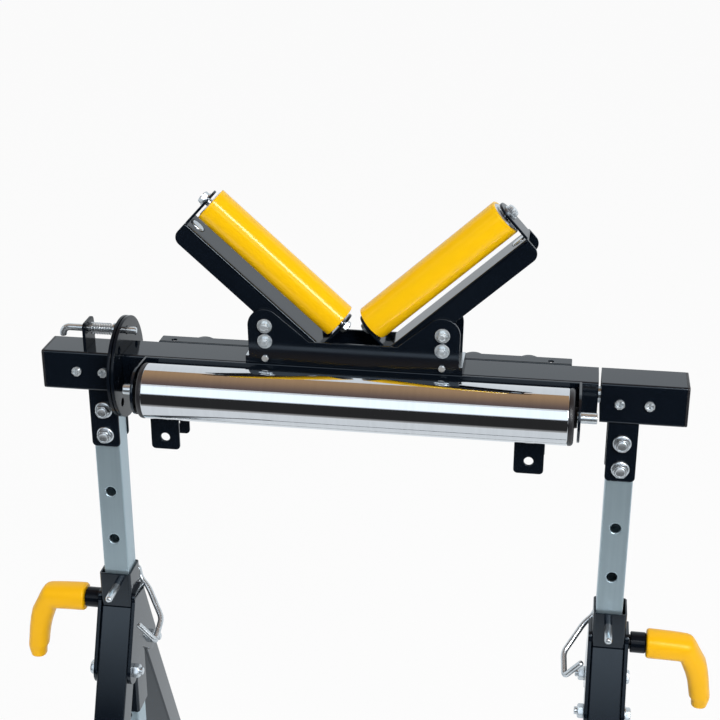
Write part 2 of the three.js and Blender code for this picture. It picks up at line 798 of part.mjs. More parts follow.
function legBracket(s) {
  const cheekInner = sleeveHalf - weldGap;
  const cheek = (side) => prism('x', side * cheekInner, side * cheekOuter, cheekOutline, cheekHoles);
  const body = join(
    prism('z', sleeveTop - sleeveLength, sleeveTop, roundedRect(sleeveSide, sleeveSide, sleeveWall),
      [roundedRect(sleeveBore, sleeveBore, sleeveWall / 2, 1)]),
    cheek(-1),
    cheek(1),
    rod('x', s * (cheekOuter - weldLap), s * (cheekOuter + bossNeck + weldLap), 0, clampZ, bossNeckRadius,
      round),
    rod('x', s * (cheekOuter + bossNeck), s * (cheekOuter + bossLength), 0, clampZ, bossRadius, round),
  );
  return cut(
    body,
    rod('y', -beamSide, beamSide, -s * sleeveOffset, pinZ, pinRadius + fitGap, coarse),
    rod('x', 0, s * (cheekOuter + 2 * bossLength), 0, clampZ, studRadius + fitGap, coarse),
    rod('x', 0, -s * (cheekOuter + bossLength), -sightHoleForward, sleeveTop - sightHoleDrop, sightHoleRadius,
      coarse),
  );
}

// Clamp handle: a stud that bears on the post and a bent, tapering grip
const gripFrom = cheekOuter + bossLength + fitGap;
const elbowSteps = 6;
function clampHandle(s, lean) {
  const elbow = new THREE.QuadraticBezierCurve3(
    unit(s * (gripFrom + gripBarrel), 0, 0),
    unit(s * (gripFrom + gripCorner), 0, 0),
    unit(s * (gripFrom + gripReach), 0, -gripElbow),
  );
  const path = [unit(s * gripFrom, 0, 0), unit(s * (gripFrom + softEnd), 0, 0)];
  const radii = [gripRadius - softEnd, gripRadius];
  for (let i = 0; i <= elbowSteps; i += 1) {
    const share = i / elbowSteps;
    path.push(elbow.getPoint(share));
    radii.push(gripRadius + (gripArmRadius - gripRadius) * share ** 2);
  }
  const arm = s * (gripFrom + gripReach + softEnd / 2);
  for (const up of [gripTipLength, softEnd, 0]) path.push(unit(arm, 0, up - gripDrop));
  radii.push(gripArmRadius - softEnd / 2, gripTipRadius + softEnd, gripTipRadius);
  return join(
    sweep(path, radii, 14).rotateX(THREE.MathUtils.degToRad(lean)),
    rod('x', s * (postSide / 2 + fitGap - sleeveOffset), s * (gripFrom + gripBarrel), 0, 0, studRadius,
      coarse),
  );
}

// Lock pin through sleeve and post, with the wire bail that hangs from its rear head
const lockPin = turned('y', [
  [-pinSeat - pinFront, 0],
  [-pinSeat - pinFront, pinRadius - softEnd],
  [softEnd - pinSeat - pinFront, pinRadius],
  [pinSeat, pinRadius],
  [pinSeat, pinHeadRadius],
  [pinSeat + pinHeadLength, pinHeadRadius],
  [pinSeat + pinHeadLength, 0],
], round);
const bailY = pinSeat + bailBack;
const bailRoute = [
  [3.6, 0, 0], [6, -2, -12], [16, -7.5, -20], [34.8, -28.5, -43], [33, -48.3, -58.3], [17, -50.5, -39.5],
];
function wireBail(s) {
  const spots = [[fitGap, 0, 0], ...bailRoute].map(([x, y, z]) => unit(-s * (pinHeadRadius + x), y, z));
  const path = [spots[0]];
  for (let i = 1; i + 1 < spots.length; i += 1) {
    const bend = Math.min(bailBend, 0.95 * spots[i].distanceTo(spots[i - 1]));
    const back = spots[i - 1].clone().sub(spots[i]).setLength(bend).add(spots[i]);
    const ahead = spots[i + 1].clone().sub(spots[i]).setLength(bend).add(spots[i]);
    path.push(...new THREE.QuadraticBezierCurve3(back, spots[i], ahead).getPoints(3));
  }
  path.push(spots[spots.length - 1]);
  return sweep(path, path.map(() => bailWire), 6);
}

// Leg tube about its pivot: front legs lean to -Y, and the top is cut to bear on the sleeve
const toFloor = -pivotZ;
function leanTube(s, from, to, width, depth, corner, wall) {
  const bore = Math.max(corner - wall, 0.5);
  const hole = wall > 0 ? [roundedRect(width - 2 * wall, depth - 2 * wall, bore, 1)] : [];
  return prism('z', from, to, roundedRect(width, depth, corner), hole).rotateX(s * splayAngle);
}
const legReach = (pivotZ + legDepth) / Math.cos(splayAngle);
const wide = 2 * postSpacing;
const bearing = pivotY - sleeveHalf - fitGap;
const beyond = (s) => box(-sleeveSide, sleeveSide, -s * bearing, -s * wide, -wide, wide);
const below = (z) => box(-wide, wide, -wide, wide, z, z - wide);
function leg(s) {
  return cut(
    leanTube(s, -legReach, legHead, legWidth, legDepth, legCorner, legWall),
    beyond(s),
    below(toFloor + legFloorGap),
    rod('x', -sleeveSide, sleeveSide, 0, 0, pivotBoltRadius + fitGap, coarse),
  );
}
function foot(s) {
  const footTop = -(pivotZ - footHeight) / Math.cos(splayAngle);
  const width = legWidth + 2 * (footWall + fitGap);
  const depth = legDepth + 2 * (footWall + fitGap);
  const socket = cut(
    leanTube(s, -legReach, 0, legWidth + 2 * fitGap, legDepth + 2 * fitGap, legCorner, 0),
    below(toFloor + legFloorGap - fitGap),
  );
  return cut(leanTube(s, -legReach, footTop, width, depth, footCorner, 0), below(toFloor), socket);
}

const boltHead = cheekOuter + fitGap;
const pivotBolt = (s) => join(
  rod('x', s * (boltHead + pivotBoltHead), -s * (boltHead + pivotBoltNut), 0, 0, pivotBoltRadius, coarse),
  hexagon('x', s * boltHead, s * (boltHead + pivotBoltHead), 0, 0, pivotBoltHex),
  hexagon('x', -s * boltHead, -s * (boltHead + pivotBoltNut), 0, 0, pivotBoltHex),
);

for (const [side, s] of sides) {
  const x = s * postX;
  addPiece(`${side}_post`, postTube, zinc, [x, 0, 0]);
  addPiece(`${side}_post_bolt_upper`, postBolt, brightZinc, [x, 0, postBoltZs[0]]);
  addPiece(`${side}_post_bolt_lower`, postBolt, brightZinc, [x, 0, postBoltZs[1]]);
  addPiece(`${side}_leg_bracket`, legBracket(s), blackPaint, [s * bracketX, 0, 0]);
  addPiece(`${side}_clamp_handle`, clampHandle(s, s > 0 ? rightGripLean : 0), yellowGrip,
    [s * bracketX, 0, clampZ]);
  addPiece(`${side}_lock_pin`, lockPin, brightZinc, [x, 0, pinZ]);
  addPiece(`${side}_bail`, wireBail(s), brightZinc, [x, bailY, pinZ]);
  for (const [end, t] of [['front', -1], ['rear', 1]]) {
    const pivot = [s * bracketX, t * pivotY, pivotZ];
    addPiece(`${side}_${end}_leg`, leg(t), blackPaint, pivot);
    addPiece(`${side}_${end}_foot`, foot(t), rubber, pivot);
    addPiece(`${side}_${end}_pivot_bolt`, pivotBolt(s), brightZinc, pivot);
  }
}

// Crossbars between the left and right legs, turned with the legs
for (const [end, t] of [['front', -1], ['rear', 1]]) {
  const reach = bracketX - legWidth / 2 - weldGap;
  const drop = pivotZ - crossbarHeight;
  const bar = prism('x', -reach, reach, roundedRect(crossbarSide, crossbarSide, crossbarWall),
    [roundedRect(crossbarSide - 2 * crossbarWall, crossbarSide - 2 * crossbarWall, crossbarWall / 2, 1)]);
  bar.rotateX(t * splayAngle);
  addPiece(`${end}_crossbar`, bar, blackPaint,
    [0, t * (pivotY + drop * Math.tan(splayAngle)), crossbarHeight]);
}

export default stand;
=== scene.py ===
import json
import math
import bmesh
import bpy
import numpy as np
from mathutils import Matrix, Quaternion, Vector
from mathutils.geometry import tessellate_polygon


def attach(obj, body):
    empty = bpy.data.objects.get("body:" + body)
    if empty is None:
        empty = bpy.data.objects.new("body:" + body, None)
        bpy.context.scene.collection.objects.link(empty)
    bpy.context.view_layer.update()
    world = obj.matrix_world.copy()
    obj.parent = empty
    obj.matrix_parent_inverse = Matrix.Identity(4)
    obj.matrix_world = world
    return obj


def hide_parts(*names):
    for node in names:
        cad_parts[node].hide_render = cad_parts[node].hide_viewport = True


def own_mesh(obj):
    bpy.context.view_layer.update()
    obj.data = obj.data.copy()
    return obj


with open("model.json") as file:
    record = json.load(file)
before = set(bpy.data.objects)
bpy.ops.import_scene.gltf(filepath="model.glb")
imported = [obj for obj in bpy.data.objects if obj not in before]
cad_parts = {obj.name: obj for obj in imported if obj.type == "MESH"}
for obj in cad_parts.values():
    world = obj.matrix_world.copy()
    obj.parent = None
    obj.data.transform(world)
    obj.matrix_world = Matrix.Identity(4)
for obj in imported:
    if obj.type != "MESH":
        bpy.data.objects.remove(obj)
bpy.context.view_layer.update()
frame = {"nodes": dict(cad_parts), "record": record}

# Folding roller stand. Shapes are worked out in millimetres and become metres when a mesh is made.
scene = bpy.context.scene
nodes = frame["nodes"]
beamAxis = 806.0                      # height of the turning beam's axis above the floor
postX = 251.8                         # post centre either side of the middle
bracketX = 253.0                      # leg bracket centre: a clamp screw holds each post to the inner wall
sides = (("left", -1), ("right", 1))
millimetre = 0.001                    # in metres, as are the next two
mergeGap, thinEdge = 2e-6, 1e-7       # points closer than this become one; edges shorter than this go
sharpAngle = math.radians(38)         # edges that turn by more than this stay sharp
print("frame loaded:", len(nodes), "nodes")


# shapes as arrays: each is (points, faces)
def gridFaces(rows, cols):
    # cell (i, j) joins ring i to ring i + 1 between columns j and j + 1; the last column meets the first
    i, j = np.meshgrid(np.arange(rows - 1), np.arange(cols), indexing="ij")
    k = (j + 1) % cols
    cells = np.stack([i * cols + j, i * cols + k, (i + 1) * cols + k, (i + 1) * cols + j], axis=-1)
    return cells.reshape(-1, 4).tolist()


def arcPoints(x, y, radius, start, stop, steps=8):
    # points at even angles on a circle of the given radius about (x, y)
    turn = np.radians(np.linspace(start, stop, steps + 1))
    return np.stack([x + radius * np.cos(turn), y + radius * np.sin(turn)], axis=1)


def circle(x, y, radius, steps=32):
    return arcPoints(x, y, radius, 0, 360, steps)[:-1]


def roundRect(width, height, radius, steps=5, x=0.0, y=0.0):
    # four quarter arcs joined by straight edges, about (x, y)
    w, h = width / 2 - radius, height / 2 - radius
    corners = ((w, h, 0), (-w, h, 90), (-w, -h, 180), (w, -h, 270))
    return np.concatenate([arcPoints(x + a, y + b, radius, s, s + 90, steps) for a, b, s in corners])


def hexLoop(acrossFlats, steps=6):
    # radius = half across flats / cos(angle from the nearest flat), eased at the corners
    cornerEase = 1.13
    angle = np.linspace(0, 2 * np.pi, 6 * steps, endpoint=False)
    near = angle % (np.pi / 3) - np.pi / 6
    radius = np.minimum(acrossFlats / 2 / np.cos(near), acrossFlats / 2 * cornerEase)
    return np.stack([radius * np.cos(angle), radius * np.sin(angle)], axis=1)


def turnedTo(loop, sense):
    # signed area by the shoelace sum decides whether the loop is reversed
    x, y = loop[:, 0], loop[:, 1]
    area = np.sum(x * np.roll(y, -1) - np.roll(x, -1) * y)
    return loop if area * sense > 0 else loop[::-1]


def intoMetal(loop, depth):
    # each corner moves along the bisector of the left normals of its two edges
    leastSpread = 0.35
    edge = np.roll(loop, -1, axis=0) - loop
    left = np.stack([-edge[:, 1], edge[:, 0]], axis=1) / np.linalg.norm(edge, axis=1)[:, None]
    before = np.roll(left, 1, axis=0)
    spread = 1 + np.sum(left * before, axis=1, keepdims=True)
    return loop + depth * (left + before) / np.maximum(spread, leastSpread)


def plate(outline, holes, low, high, soft=0.4, softLow=None, steps=2):
    # the outline and every hole carry one rounded edge profile from the low face to the high face
    softLow = soft if softLow is None else softLow
    loops = [turnedTo(np.array(outline, float), 1)] + [turnedTo(np.array(h, float), -1) for h in holes]
    quarter = np.linspace(0, np.pi / 2, steps + 1)
    profile = [(softLow * (1 - np.sin(q)), low + softLow * (1 - np.cos(q))) for q in quarter]
    profile += [(soft * (1 - np.sin(q)), high - soft * (1 - np.cos(q))) for q in quarter[::-1]]
    points, faces, lowRing, highRing, start = [], [], [], [], 0
    for loop in loops:
        rings = [np.column_stack([intoMetal(loop, d), np.full(len(loop), w)]) for d, w in profile]
        points += rings
        faces += (np.array(gridFaces(len(profile), len(loop))) + start).tolist()
        lowRing += range(start, start + len(loop))
        start += len(profile) * len(loop)
        highRing += range(start - len(loop), start)
    points = np.concatenate(points)
    for ring, depth in ((lowRing, softLow), (highRing, soft)):
        spots = [[Vector((*p, 0)) for p in intoMetal(loop, depth)] for loop in loops]
        faces += [[ring[k] for k in cell] for cell in tessellate_polygon(spots)]
    return points, faces


def lathe(profile, count=64):
    # each (along, radius) pair turns once about X: y = radius cos t, z = radius sin t
    along, radius = np.array(profile, float).T
    t = np.linspace(0, 2 * np.pi, count, endpoint=False)
    x = np.repeat(along[:, None], count, axis=1)
    points = np.stack([x, radius[:, None] * np.cos(t), radius[:, None] * np.sin(t)], axis=-1)
    return points.reshape(-1, 3), gridFaces(len(along), count)


def loft(rings):
    # rings of equal count joined in order, with flat ends
    rings = np.asarray(rings, float)
    rows, cols = rings.shape[:2]
    ends = [list(range(cols))[::-1], list(range((rows - 1) * cols, rows * cols))]
    return rings.reshape(-1, 3), gridFaces(rows, cols) + ends


def roundedRun(stops, cut, steps=6):
    # straight runs whose corners are quadratic curves that start and end the cut length from each corner
    mostCut = 0.95
    p = np.array(stops, float)
    before, after = p[:-2] - p[1:-1], p[2:] - p[1:-1]
    long, ahead = np.linalg.norm(before, axis=1)[:, None], np.linalg.norm(after, axis=1)[:, None]
    cut = np.minimum(cut, mostCut * long)
    start, stop = p[1:-1] + before / long * cut, p[1:-1] + after / ahead * cut
    t = np.linspace(0, 1, steps + 1)[None, :, None]
    bends = (1 - t) ** 2 * start[:, None] + 2 * t * (1 - t) * p[1:-1, None] + t ** 2 * stop[:, None]
    return np.concatenate([p[:1], bends.reshape(-1, 3), p[-1:]])


def pathRings(path, radius, count):
    # a circle of the local radius carried along the path, its frame turned as little as possible
    path = np.array(path, float)
    tangent = np.gradient(path, axis=0)
    tangent /= np.linalg.norm(tangent, axis=1)[:, None]
    normal = np.zeros_like(path)
    guide = np.array([0.0, 1.0, 0.0]) if abs(tangent[0, 1]) < 0.9 else np.array([0.0, 0.0, 1.0])
    for i, along in enumerate(tangent):
        guide = guide - along * guide.dot(along)
        guide = guide / np.linalg.norm(guide)
        normal[i] = guide
    side = np.cross(tangent, normal)
    t = np.linspace(0, 2 * np.pi, count, endpoint=False)
    radius = np.broadcast_to(np.asarray(radius, float), len(path))[:, None, None]
    outward = np.cos(t)[None, :, None] * normal[:, None] + np.sin(t)[None, :, None] * side[:, None]
    return path[:, None] + radius * outward


def wire(path, radius, count=16):
    # a round tube along the path, its two ends drawn in over one ring
    tipReach, tipShare = 0.35, 0.72
    path = np.array(path, float)
    radius = np.broadcast_to(np.asarray(radius, float), len(path)).copy()
    tip = lambda a, b, r: a + (a - b) / np.linalg.norm(a - b) * r * tipReach
    path = np.concatenate([[tip(path[0], path[1], radius[0])], path, [tip(path[-1], path[-2], radius[-1])]])
    radius = np.concatenate([[radius[0] * tipShare], radius, [radius[-1] * tipShare]])
    return loft(pathRings(path, radius, count))


plateAxes = {"x": [2, 0, 1], "y": [0, 2, 1], "z": [0, 1, 2]}      # plate (u, v, w) to world
latheAxes = {"x": [0, 1, 2], "y": [1, 0, 2], "z": [1, 2, 0]}      # lathe axis X to world


def along(shape, axis, place=(0, 0, 0), table=plateAxes):
    points, faces = shape
    return points[:, table[axis]] + np.array(place, float), faces


def spun(profile, axis, place=(0, 0, 0), count=64):
    return along(lathe(profile, count), axis, place, latheAxes)


def shift(shape, place):
    return shape[0] + np.array(place, float), shape[1]


def shank(half, radius, axis, place, count=24):
    # plain round bar of twice the half length about its place
    return spun([(-half, 0), (-half, radius), (half, radius), (half, 0)], axis, place, count)


def platePair(outline, holes, inner, outer, softIn, softOut, steps=3):
    # two equal plates either side of the plane y = 0, each with its own edge round inside and outside
    return [along(plate(outline, holes, -outer, -inner, softIn, softOut, steps), "y"),
            along(plate(outline, holes, inner, outer, softOut, softIn, steps), "y")]


def boxPlate(x0, x1, y0, y1, z0, z1, soft=0.4):
    # a plain block as a plate laid in its thinnest direction
    spans = {"x": abs(x1 - x0), "y": abs(y1 - y0), "z": abs(z1 - z0)}
    axis = min(spans, key=spans.get)
    u0, u1, v0, v1, w0, w1 = {"x": (y0, y1, z0, z1, x0, x1), "y": (x0, x1, z0, z1, y0, y1),
                              "z": (x0, x1, y0, y1, z0, z1)}[axis]
    outline = roundRect(abs(u1 - u0), abs(v1 - v0), max(soft, 0.3), 2, (u0 + u1) / 2, (v0 + v1) / 2)
    return along(plate(outline, [], min(w0, w1), max(w0, w1), soft), axis)


def joined(shapes):
    points, faces, start = [], [], 0
    for p, f in shapes:
        points.append(p)
        faces += [[k + start for k in cell] for cell in f]
        start += len(p)
    return np.concatenate(points), faces


def makePiece(name, shapes, body, slot, replaced=(), lift=0.0, finish=None):
    # closed shells in one mesh, with merged corners, outward faces and area-weighted normals;
    # the finish is that of the slot unless another is given
    points, faces = joined(shapes if isinstance(shapes, list) else [shapes])
    points = (points + [0, 0, lift]) * millimetre
    mesh = bpy.data.meshes.new(name)
    mesh.from_pydata(points.tolist(), [], faces)
    work = bmesh.new()
    work.from_mesh(mesh)
    bmesh.ops.remove_doubles(work, verts=work.verts, dist=mergeGap)
    bmesh.ops.dissolve_degenerate(work, edges=work.edges, dist=thinEdge)
    bmesh.ops.recalc_face_normals(work, faces=work.faces)
    work.to_mesh(mesh)
    work.free()
    mesh.shade_smooth()
    mesh.set_sharp_from_angle(angle=sharpAngle)
    piece = bpy.data.objects.new(name, mesh)
    scene.collection.objects.link(piece)
    weighted = piece.modifiers.new("faceWeights", "WEIGHTED_NORMAL")
    weighted.keep_sharp = True
    mesh.materials.append(finishes[finish or slotFinish[slot]])
    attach(piece, body)
    if replaced:
        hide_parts(*replaced)
    return piece


def beamPiece(*given, **named):
    # a piece whose shapes are worked out about the beam's axis
    return makePiece(*given, lift=beamAxis, **named)


def newGroup(name, scales):
    # a node group that takes two colours, two limits of the gloss and its own scales
    group = bpy.data.node_groups.new(name, "ShaderNodeTree")
    inputs = {"Deep Colour": "Color", "Pale Colour": "Color", "Smooth": "Float", "Rough": "Float", **scales}
    outputs = {"Colour": "Color", "Gloss": "Float", "Height": "Float"}
    for way, sockets in (("INPUT", inputs), ("OUTPUT", outputs)):
        for label, kind in sockets.items():
            group.interface.new_socket(name=label, in_out=way, socket_type="NodeSocket" + kind)
    given = group.nodes.new("NodeGroupInput").outputs
    return group, given, addNode(group, "TexCoord").outputs["Object"]


def closeGroup(group, given, tintBy, glossBy, height, span):
    # the tint runs between the two colours, and the gloss between its limits over the span of its source
    tint = addNode(group, "Mix", {"data_type": "RGBA"},
                   {"Factor": tintBy, 6: given["Deep Colour"], 7: given["Pale Colour"]})
    gloss = addNode(group, "MapRange", {"From Min": span[0], "From Max": span[1]},
                    {"Value": glossBy, "To Min": given["Smooth"], "To Max": given["Rough"]})
    sink = group.nodes.new("NodeGroupOutput").inputs
    group.links.new(tint.outputs[2], sink["Colour"])
    group.links.new(gloss.outputs[0], sink["Gloss"])
    group.links.new(height.outputs[0], sink["Height"])
    return group


def addNode(tree, kind, values=None, links=None):
    # links may name a node instead of a socket: then its first output is meant
    node = tree.nodes.new("ShaderNode" + kind)
    for key, value in (values or {}).items():
        if isinstance(key, str) and hasattr(node, key):
            setattr(node, key, value)
        else:
            node.inputs[key].default_value = value
    for key, source in (links or {}).items():
        socket = source.outputs[0] if isinstance(source, bpy.types.Node) else source
        tree.links.new(socket, node.inputs[key])
    return node


def coatGroup():
    # sprayed coat: orange peel for the height, a slow drift for the gloss and the tint between two colours
    group, given, place = newGroup("sprayedCoat", {"Peel Scale": "Float"})
    peel = addNode(group, "TexNoise", {"Detail": 1.5, "Roughness": 0.4},
                   {"Vector": place, "Scale": given["Peel Scale"]})
    drift = addNode(group, "TexNoise", {"Scale": 14.0, "Detail": 3.0}, {"Vector": place})
    return closeGroup(group, given, drift, drift, peel, (0.3, 0.7))


def platedGroup():
    # drawn and plated metal: fine lines along one axis, cloudy blotches, and a mask that mixes them
    group, given, place = newGroup("platedMetal", {"Line Scale": "Vector", "Cloud Scale": "Float"})
    stretched = addNode(group, "VectorMath", {"operation": "MULTIPLY"}, {0: place, 1: given["Line Scale"]})
    lines = addNode(group, "TexNoise", {"Scale": 1.0, "Detail": 2.0}, {"Vector": stretched})
    cloud = addNode(group, "TexNoise", {"Detail": 4.0, "Roughness": 0.6},
                    {"Vector": place, "Scale": given["Cloud Scale"]})
    both = addNode(group, "Mix", {"data_type": "FLOAT", 0: 0.45}, {2: lines, 3: cloud})
    mask = addNode(group, "MapRange", {"From Min": 0.35, "From Max": 0.65}, {"Value": both})
    return closeGroup(group, given, mask, both, lines, (0.0, 1.0))


sprayedCoat, platedMetal = coatGroup(), platedGroup()


def colour(r, g, b):
    # screen values 0 to 255 to linear light
    c = np.array([r, g, b]) / 255
    return (*np.where(c <= 0.04045, c / 12.92, ((c + 0.055) / 1.055) ** 2.4).tolist(), 1.0)


def finishFrom(name, group, deep, pale, gloss, scales, shader, bump):
    # one material: the group's colour, gloss and height on a Principled shader with its own fixed values
    material = bpy.data.materials.new(name)
    material.use_nodes = True
    tree = material.node_tree
    principled = tree.nodes["Principled BSDF"]
    for key, value in shader.items():
        principled.inputs[key].default_value = value
    effect = tree.nodes.new("ShaderNodeGroup")
    effect.node_tree = group
    look = {"Deep Colour": colour(*deep), "Pale Colour": colour(*pale), "Smooth": gloss[0], "Rough": gloss[1]}
    for key, value in {**look, **scales}.items():
        effect.inputs[key].default_value = value
    tree.links.new(effect.outputs["Colour"], principled.inputs["Base Color"])
    tree.links.new(effect.outputs["Gloss"], principled.inputs["Roughness"])
    relief = addNode(tree, "Bump", {"Strength": bump[0], "Distance": bump[1]},
                     {"Height": effect.outputs["Height"]})
    tree.links.new(relief.outputs[0], principled.inputs["Normal"])
    return material


coatRows = {
    # deep and pale colour, smoothest and roughest gloss, peel scale, shader values, bump strength and metres
    "blackPaint": ((8, 14, 22), (13, 20, 29), (0.07, 0.15), 700.0,
                   {"IOR": 1.5, "Specular Tint": (0.82, 0.92, 1.0, 1)}, (0.03, 0.0002)),
    "shadeBlack": ((8, 13, 20), (13, 19, 27), (0.12, 0.2), 700.0,
                   {"IOR": 1.5, "Specular IOR Level": 0.14}, (0.03, 0.0002)),
    "yellowSleeve": ((250, 193, 10), (252, 198, 14), (0.1, 0.16), 500.0,
                     {"IOR": 1.44, "Specular Tint": (1.0, 0.95, 0.72, 1)}, (0.003, 0.0002)),
    "yellowGrip": ((252, 186, 4), (255, 193, 8), (0.3, 0.42), 1600.0,
                   {"IOR": 1.48, "Specular Tint": (1.0, 0.9, 0.5, 1)}, (0.12, 0.0002)),
    "blackPlastic": ((24, 24, 27), (34, 33, 37), (0.34, 0.48), 1800.0, {"IOR": 1.48}, (0.15, 0.0002)),
    "nylon": ((206, 202, 190), (222, 219, 209), (0.4, 0.55), 900.0, {"IOR": 1.5}, (0.1, 0.0002)),
    "rubber": ((20, 20, 21), (33, 33, 34), (0.62, 0.8), 1200.0, {"IOR": 1.48}, (0.3, 0.0003)),
}
platedRows = {
    # deep and pale colour, smoothest and roughest gloss, line and cloud scale, metallic share, bump as above
    "zincTube": ((160, 178, 187), (167, 185, 193), (0.3, 0.42), (300.0, 300.0, 6.0), 18.0, 0.7,
                 (0.03, 0.0002)),
    "brightZinc": ((188, 195, 200), (214, 219, 223), (0.18, 0.3), (160.0,) * 3, 60.0, 0.85, (0.01, 0.0001)),
    "boltZinc": ((194, 203, 209), (228, 234, 237), (0.2, 0.3), (300.0,) * 3, 90.0, 0.6, (0.01, 0.0001)),
    "chrome": ((203, 205, 208), (209, 211, 214), (0.04, 0.08), (260.0, 8.0, 8.0), 12.0, 1.0, (0.002, 0.0001)),
    "springSteel": ((176, 181, 185), (216, 220, 223), (0.18, 0.3), (400.0,) * 3, 120.0, 0.85, (0.02, 0.0001)),
}
finishes = {}
for name, (deep, pale, gloss, peel, shader, bump) in coatRows.items():
    finishes[name] = finishFrom(name, sprayedCoat, deep, pale, gloss, {"Peel Scale": peel}, shader, bump)
for name, (deep, pale, gloss, lines, cloud, metallic, bump) in platedRows.items():
    scales = {"Line Scale": lines, "Cloud Scale": cloud}
    finishes[name] = finishFrom(name, platedMetal, deep, pale, gloss, scales, {"Metallic": metallic}, bump)
slotFinish = {"black_paint": "blackPaint", "zinc_tube": "zincTube", "bright_zinc": "brightZinc",
              "chrome": "chrome", "yellow_sleeve": "yellowSleeve", "yellow_grip": "yellowGrip",
              "black_plastic": "blackPlastic", "nylon": "nylon", "rubber": "rubber"}
for entry in frame["record"]["subparts"]:
    target = nodes[entry["node"]].data.materials
    target.clear()
    target.append(finishes[slotFinish[entry["material_slot"]]])
print("finishes made")


def panHead(radius, height, slotLong=0.62, slotWide=0.17):
    # domed screw head on the plane y = 0, built towards +y, with a cross recess
    a, b = radius * slotLong, radius * slotWide
    half = np.array([(a, b), (b, b), (b, a), (-b, a), (-b, b), (-a, b)])
    cross = np.concatenate([half, -half])
    dome = plate(circle(0, 0, radius, 40), [cross], height * 0.3, height, height * 0.55, 0.1, 4)
    seat = plate(circle(0, 0, radius * 0.97, 40), [], 0, height * 0.36, 0.1)
    return [along(dome, "y"), along(seat, "y")]


def facing(shapes, place, flip):
    # mirrors shapes built towards +y so that they look towards -y, then moves them
    sign = np.array([1, -1 if flip else 1, 1])
    return [(points * sign + np.array(place, float), faces) for points, faces in shapes]


def hexHead(acrossFlats, height):
    # hexagon whose top corners are cut by a cone, as on a forged bolt head
    loop = hexLoop(acrossFlats)
    top = loop * np.minimum(1, acrossFlats * 0.49 / np.linalg.norm(loop, axis=1))[:, None]
    heights = (0, height * 0.1, height * 0.8, height * 0.94, height)
    rings = [loop * 0.97, loop, loop, top, top * 0.9]
    return loft([np.column_stack([ring, np.full(len(ring), h)]) for ring, h in zip(rings, heights)])


def seatedBolt(skirt, crown, flats, height, rise, counts):
    # hexagon bolt on its flange or washer, seated on the plane y = 0 and built towards +y
    return [spun(skirt, "y", count=counts[0]), along(shift(hexHead(flats, height), (0, 0, rise)), "y"),
            spun(crown, "y", count=counts[1])]


flangeBolt = seatedBolt([(0, 0), (0, 8.5), (0.7, 8.7), (1.3, 8.3), (2.2, 7.2), (2.4, 0)],
                        [(6.4, 0), (6.4, 5.2), (7.2, 4.9), (7.5, 4.3), (7.2, 3.7), (7.2, 0)],
                        12.6, 5.6, 1.4, (48, 36))
washerBolt = seatedBolt([(0, 0), (0, 6.8), (0.3, 7.1), (1.0, 7.1), (1.3, 6.8), (1.3, 0)],
                        [(5.2, 0), (5.2, 3.3), (5.9, 3.0), (6.1, 2.5), (5.9, 2.1), (5.9, 0)],
                        8.2, 4.6, 1.1, (40, 32))


def hexNut(acrossFlats, height, boltRadius, proud):
    # nut and the end of its bolt on the plane y = 0, built towards +y
    chamfer, tip = 0.8, height + proud
    end = [(0, 0), (0, boltRadius), (tip - chamfer, boltRadius), (tip, boltRadius - chamfer), (tip, 0)]
    return [along(hexHead(acrossFlats, height), "y"), spun(end, "y", count=24)]


# fixed end stubs, discs, brackets
stub = {"side": 40.0, "wall": 2.0, "corner": 2.4, "bore": 1.4, "leftEnd": -235.0, "rightStart": 229.0,
        "cap": 2.5, "reach": 309.5, "plug": 35.4, "plugLong": 10,
        "screwX": {"left": (-274.5, -248.2), "right": (246.8, 274.1)}}
bracket = {"width": 28.6, "drop": 62.0, "sheet": 2.5, "inner": 13.3, "corner": 4.5, "top": -20.2,
           "web": (-22.6, -20.1), "bolts": (-42.0, -69.0), "hole": 4.3, "bolt": 3.9}
index = {"disc": 50.0, "sheet": 3, "bore": 8.6, "circle": 38, "hole": 4.2, "guide": (-268.5, -265.5),
         "guideHalf": 14, "guideTop": 41.5, "guideCorner": 5, "guideHole": 4.1}
tubeHalf = stub["side"] / 2
boreSide = stub["side"] - 2 * stub["wall"]
tubeOutline = roundRect(stub["side"], stub["side"], stub["corner"], 6)
tubeBore = roundRect(boreSide, boreSide, stub["bore"], 4)
capOutline = roundRect(stub["side"], stub["side"], stub["corner"] + 0.3, 6)
plugOutline = roundRect(stub["plug"], stub["plug"], stub["bore"], 3)
stubSpan = {"left": (-stub["reach"] + stub["cap"], stub["leftEnd"]),
            "right": (stub["rightStart"], stub["reach"] - stub["cap"])}


def strip(width, top, bottom, corner, x=0.0):
    # hanging strip: square top, round lower corners
    left, right = x - width / 2, x + width / 2
    return np.concatenate([[[left, top]], arcPoints(left + corner, bottom + corner, corner, 180, 270, 6),
                           arcPoints(right - corner, bottom + corner, corner, 270, 360, 6), [[right, top]]])


def postBracket(x):
    # folded channel: two flanges with bolt holes, a web under the stub and rounded folds along both edges
    b = bracket
    outline = strip(b["width"], b["top"], -tubeHalf - b["drop"], b["corner"], x)
    holes = [circle(x, z, b["hole"], 24) for z in b["bolts"]]
    inner, half = b["inner"], b["width"] / 2
    web = boxPlate(x - half, x + half, -inner - 0.6, inner + 0.6, *b["web"], 0.3)
    return platePair(outline, holes, inner, inner + b["sheet"], 0.3, 0.9) + [web]


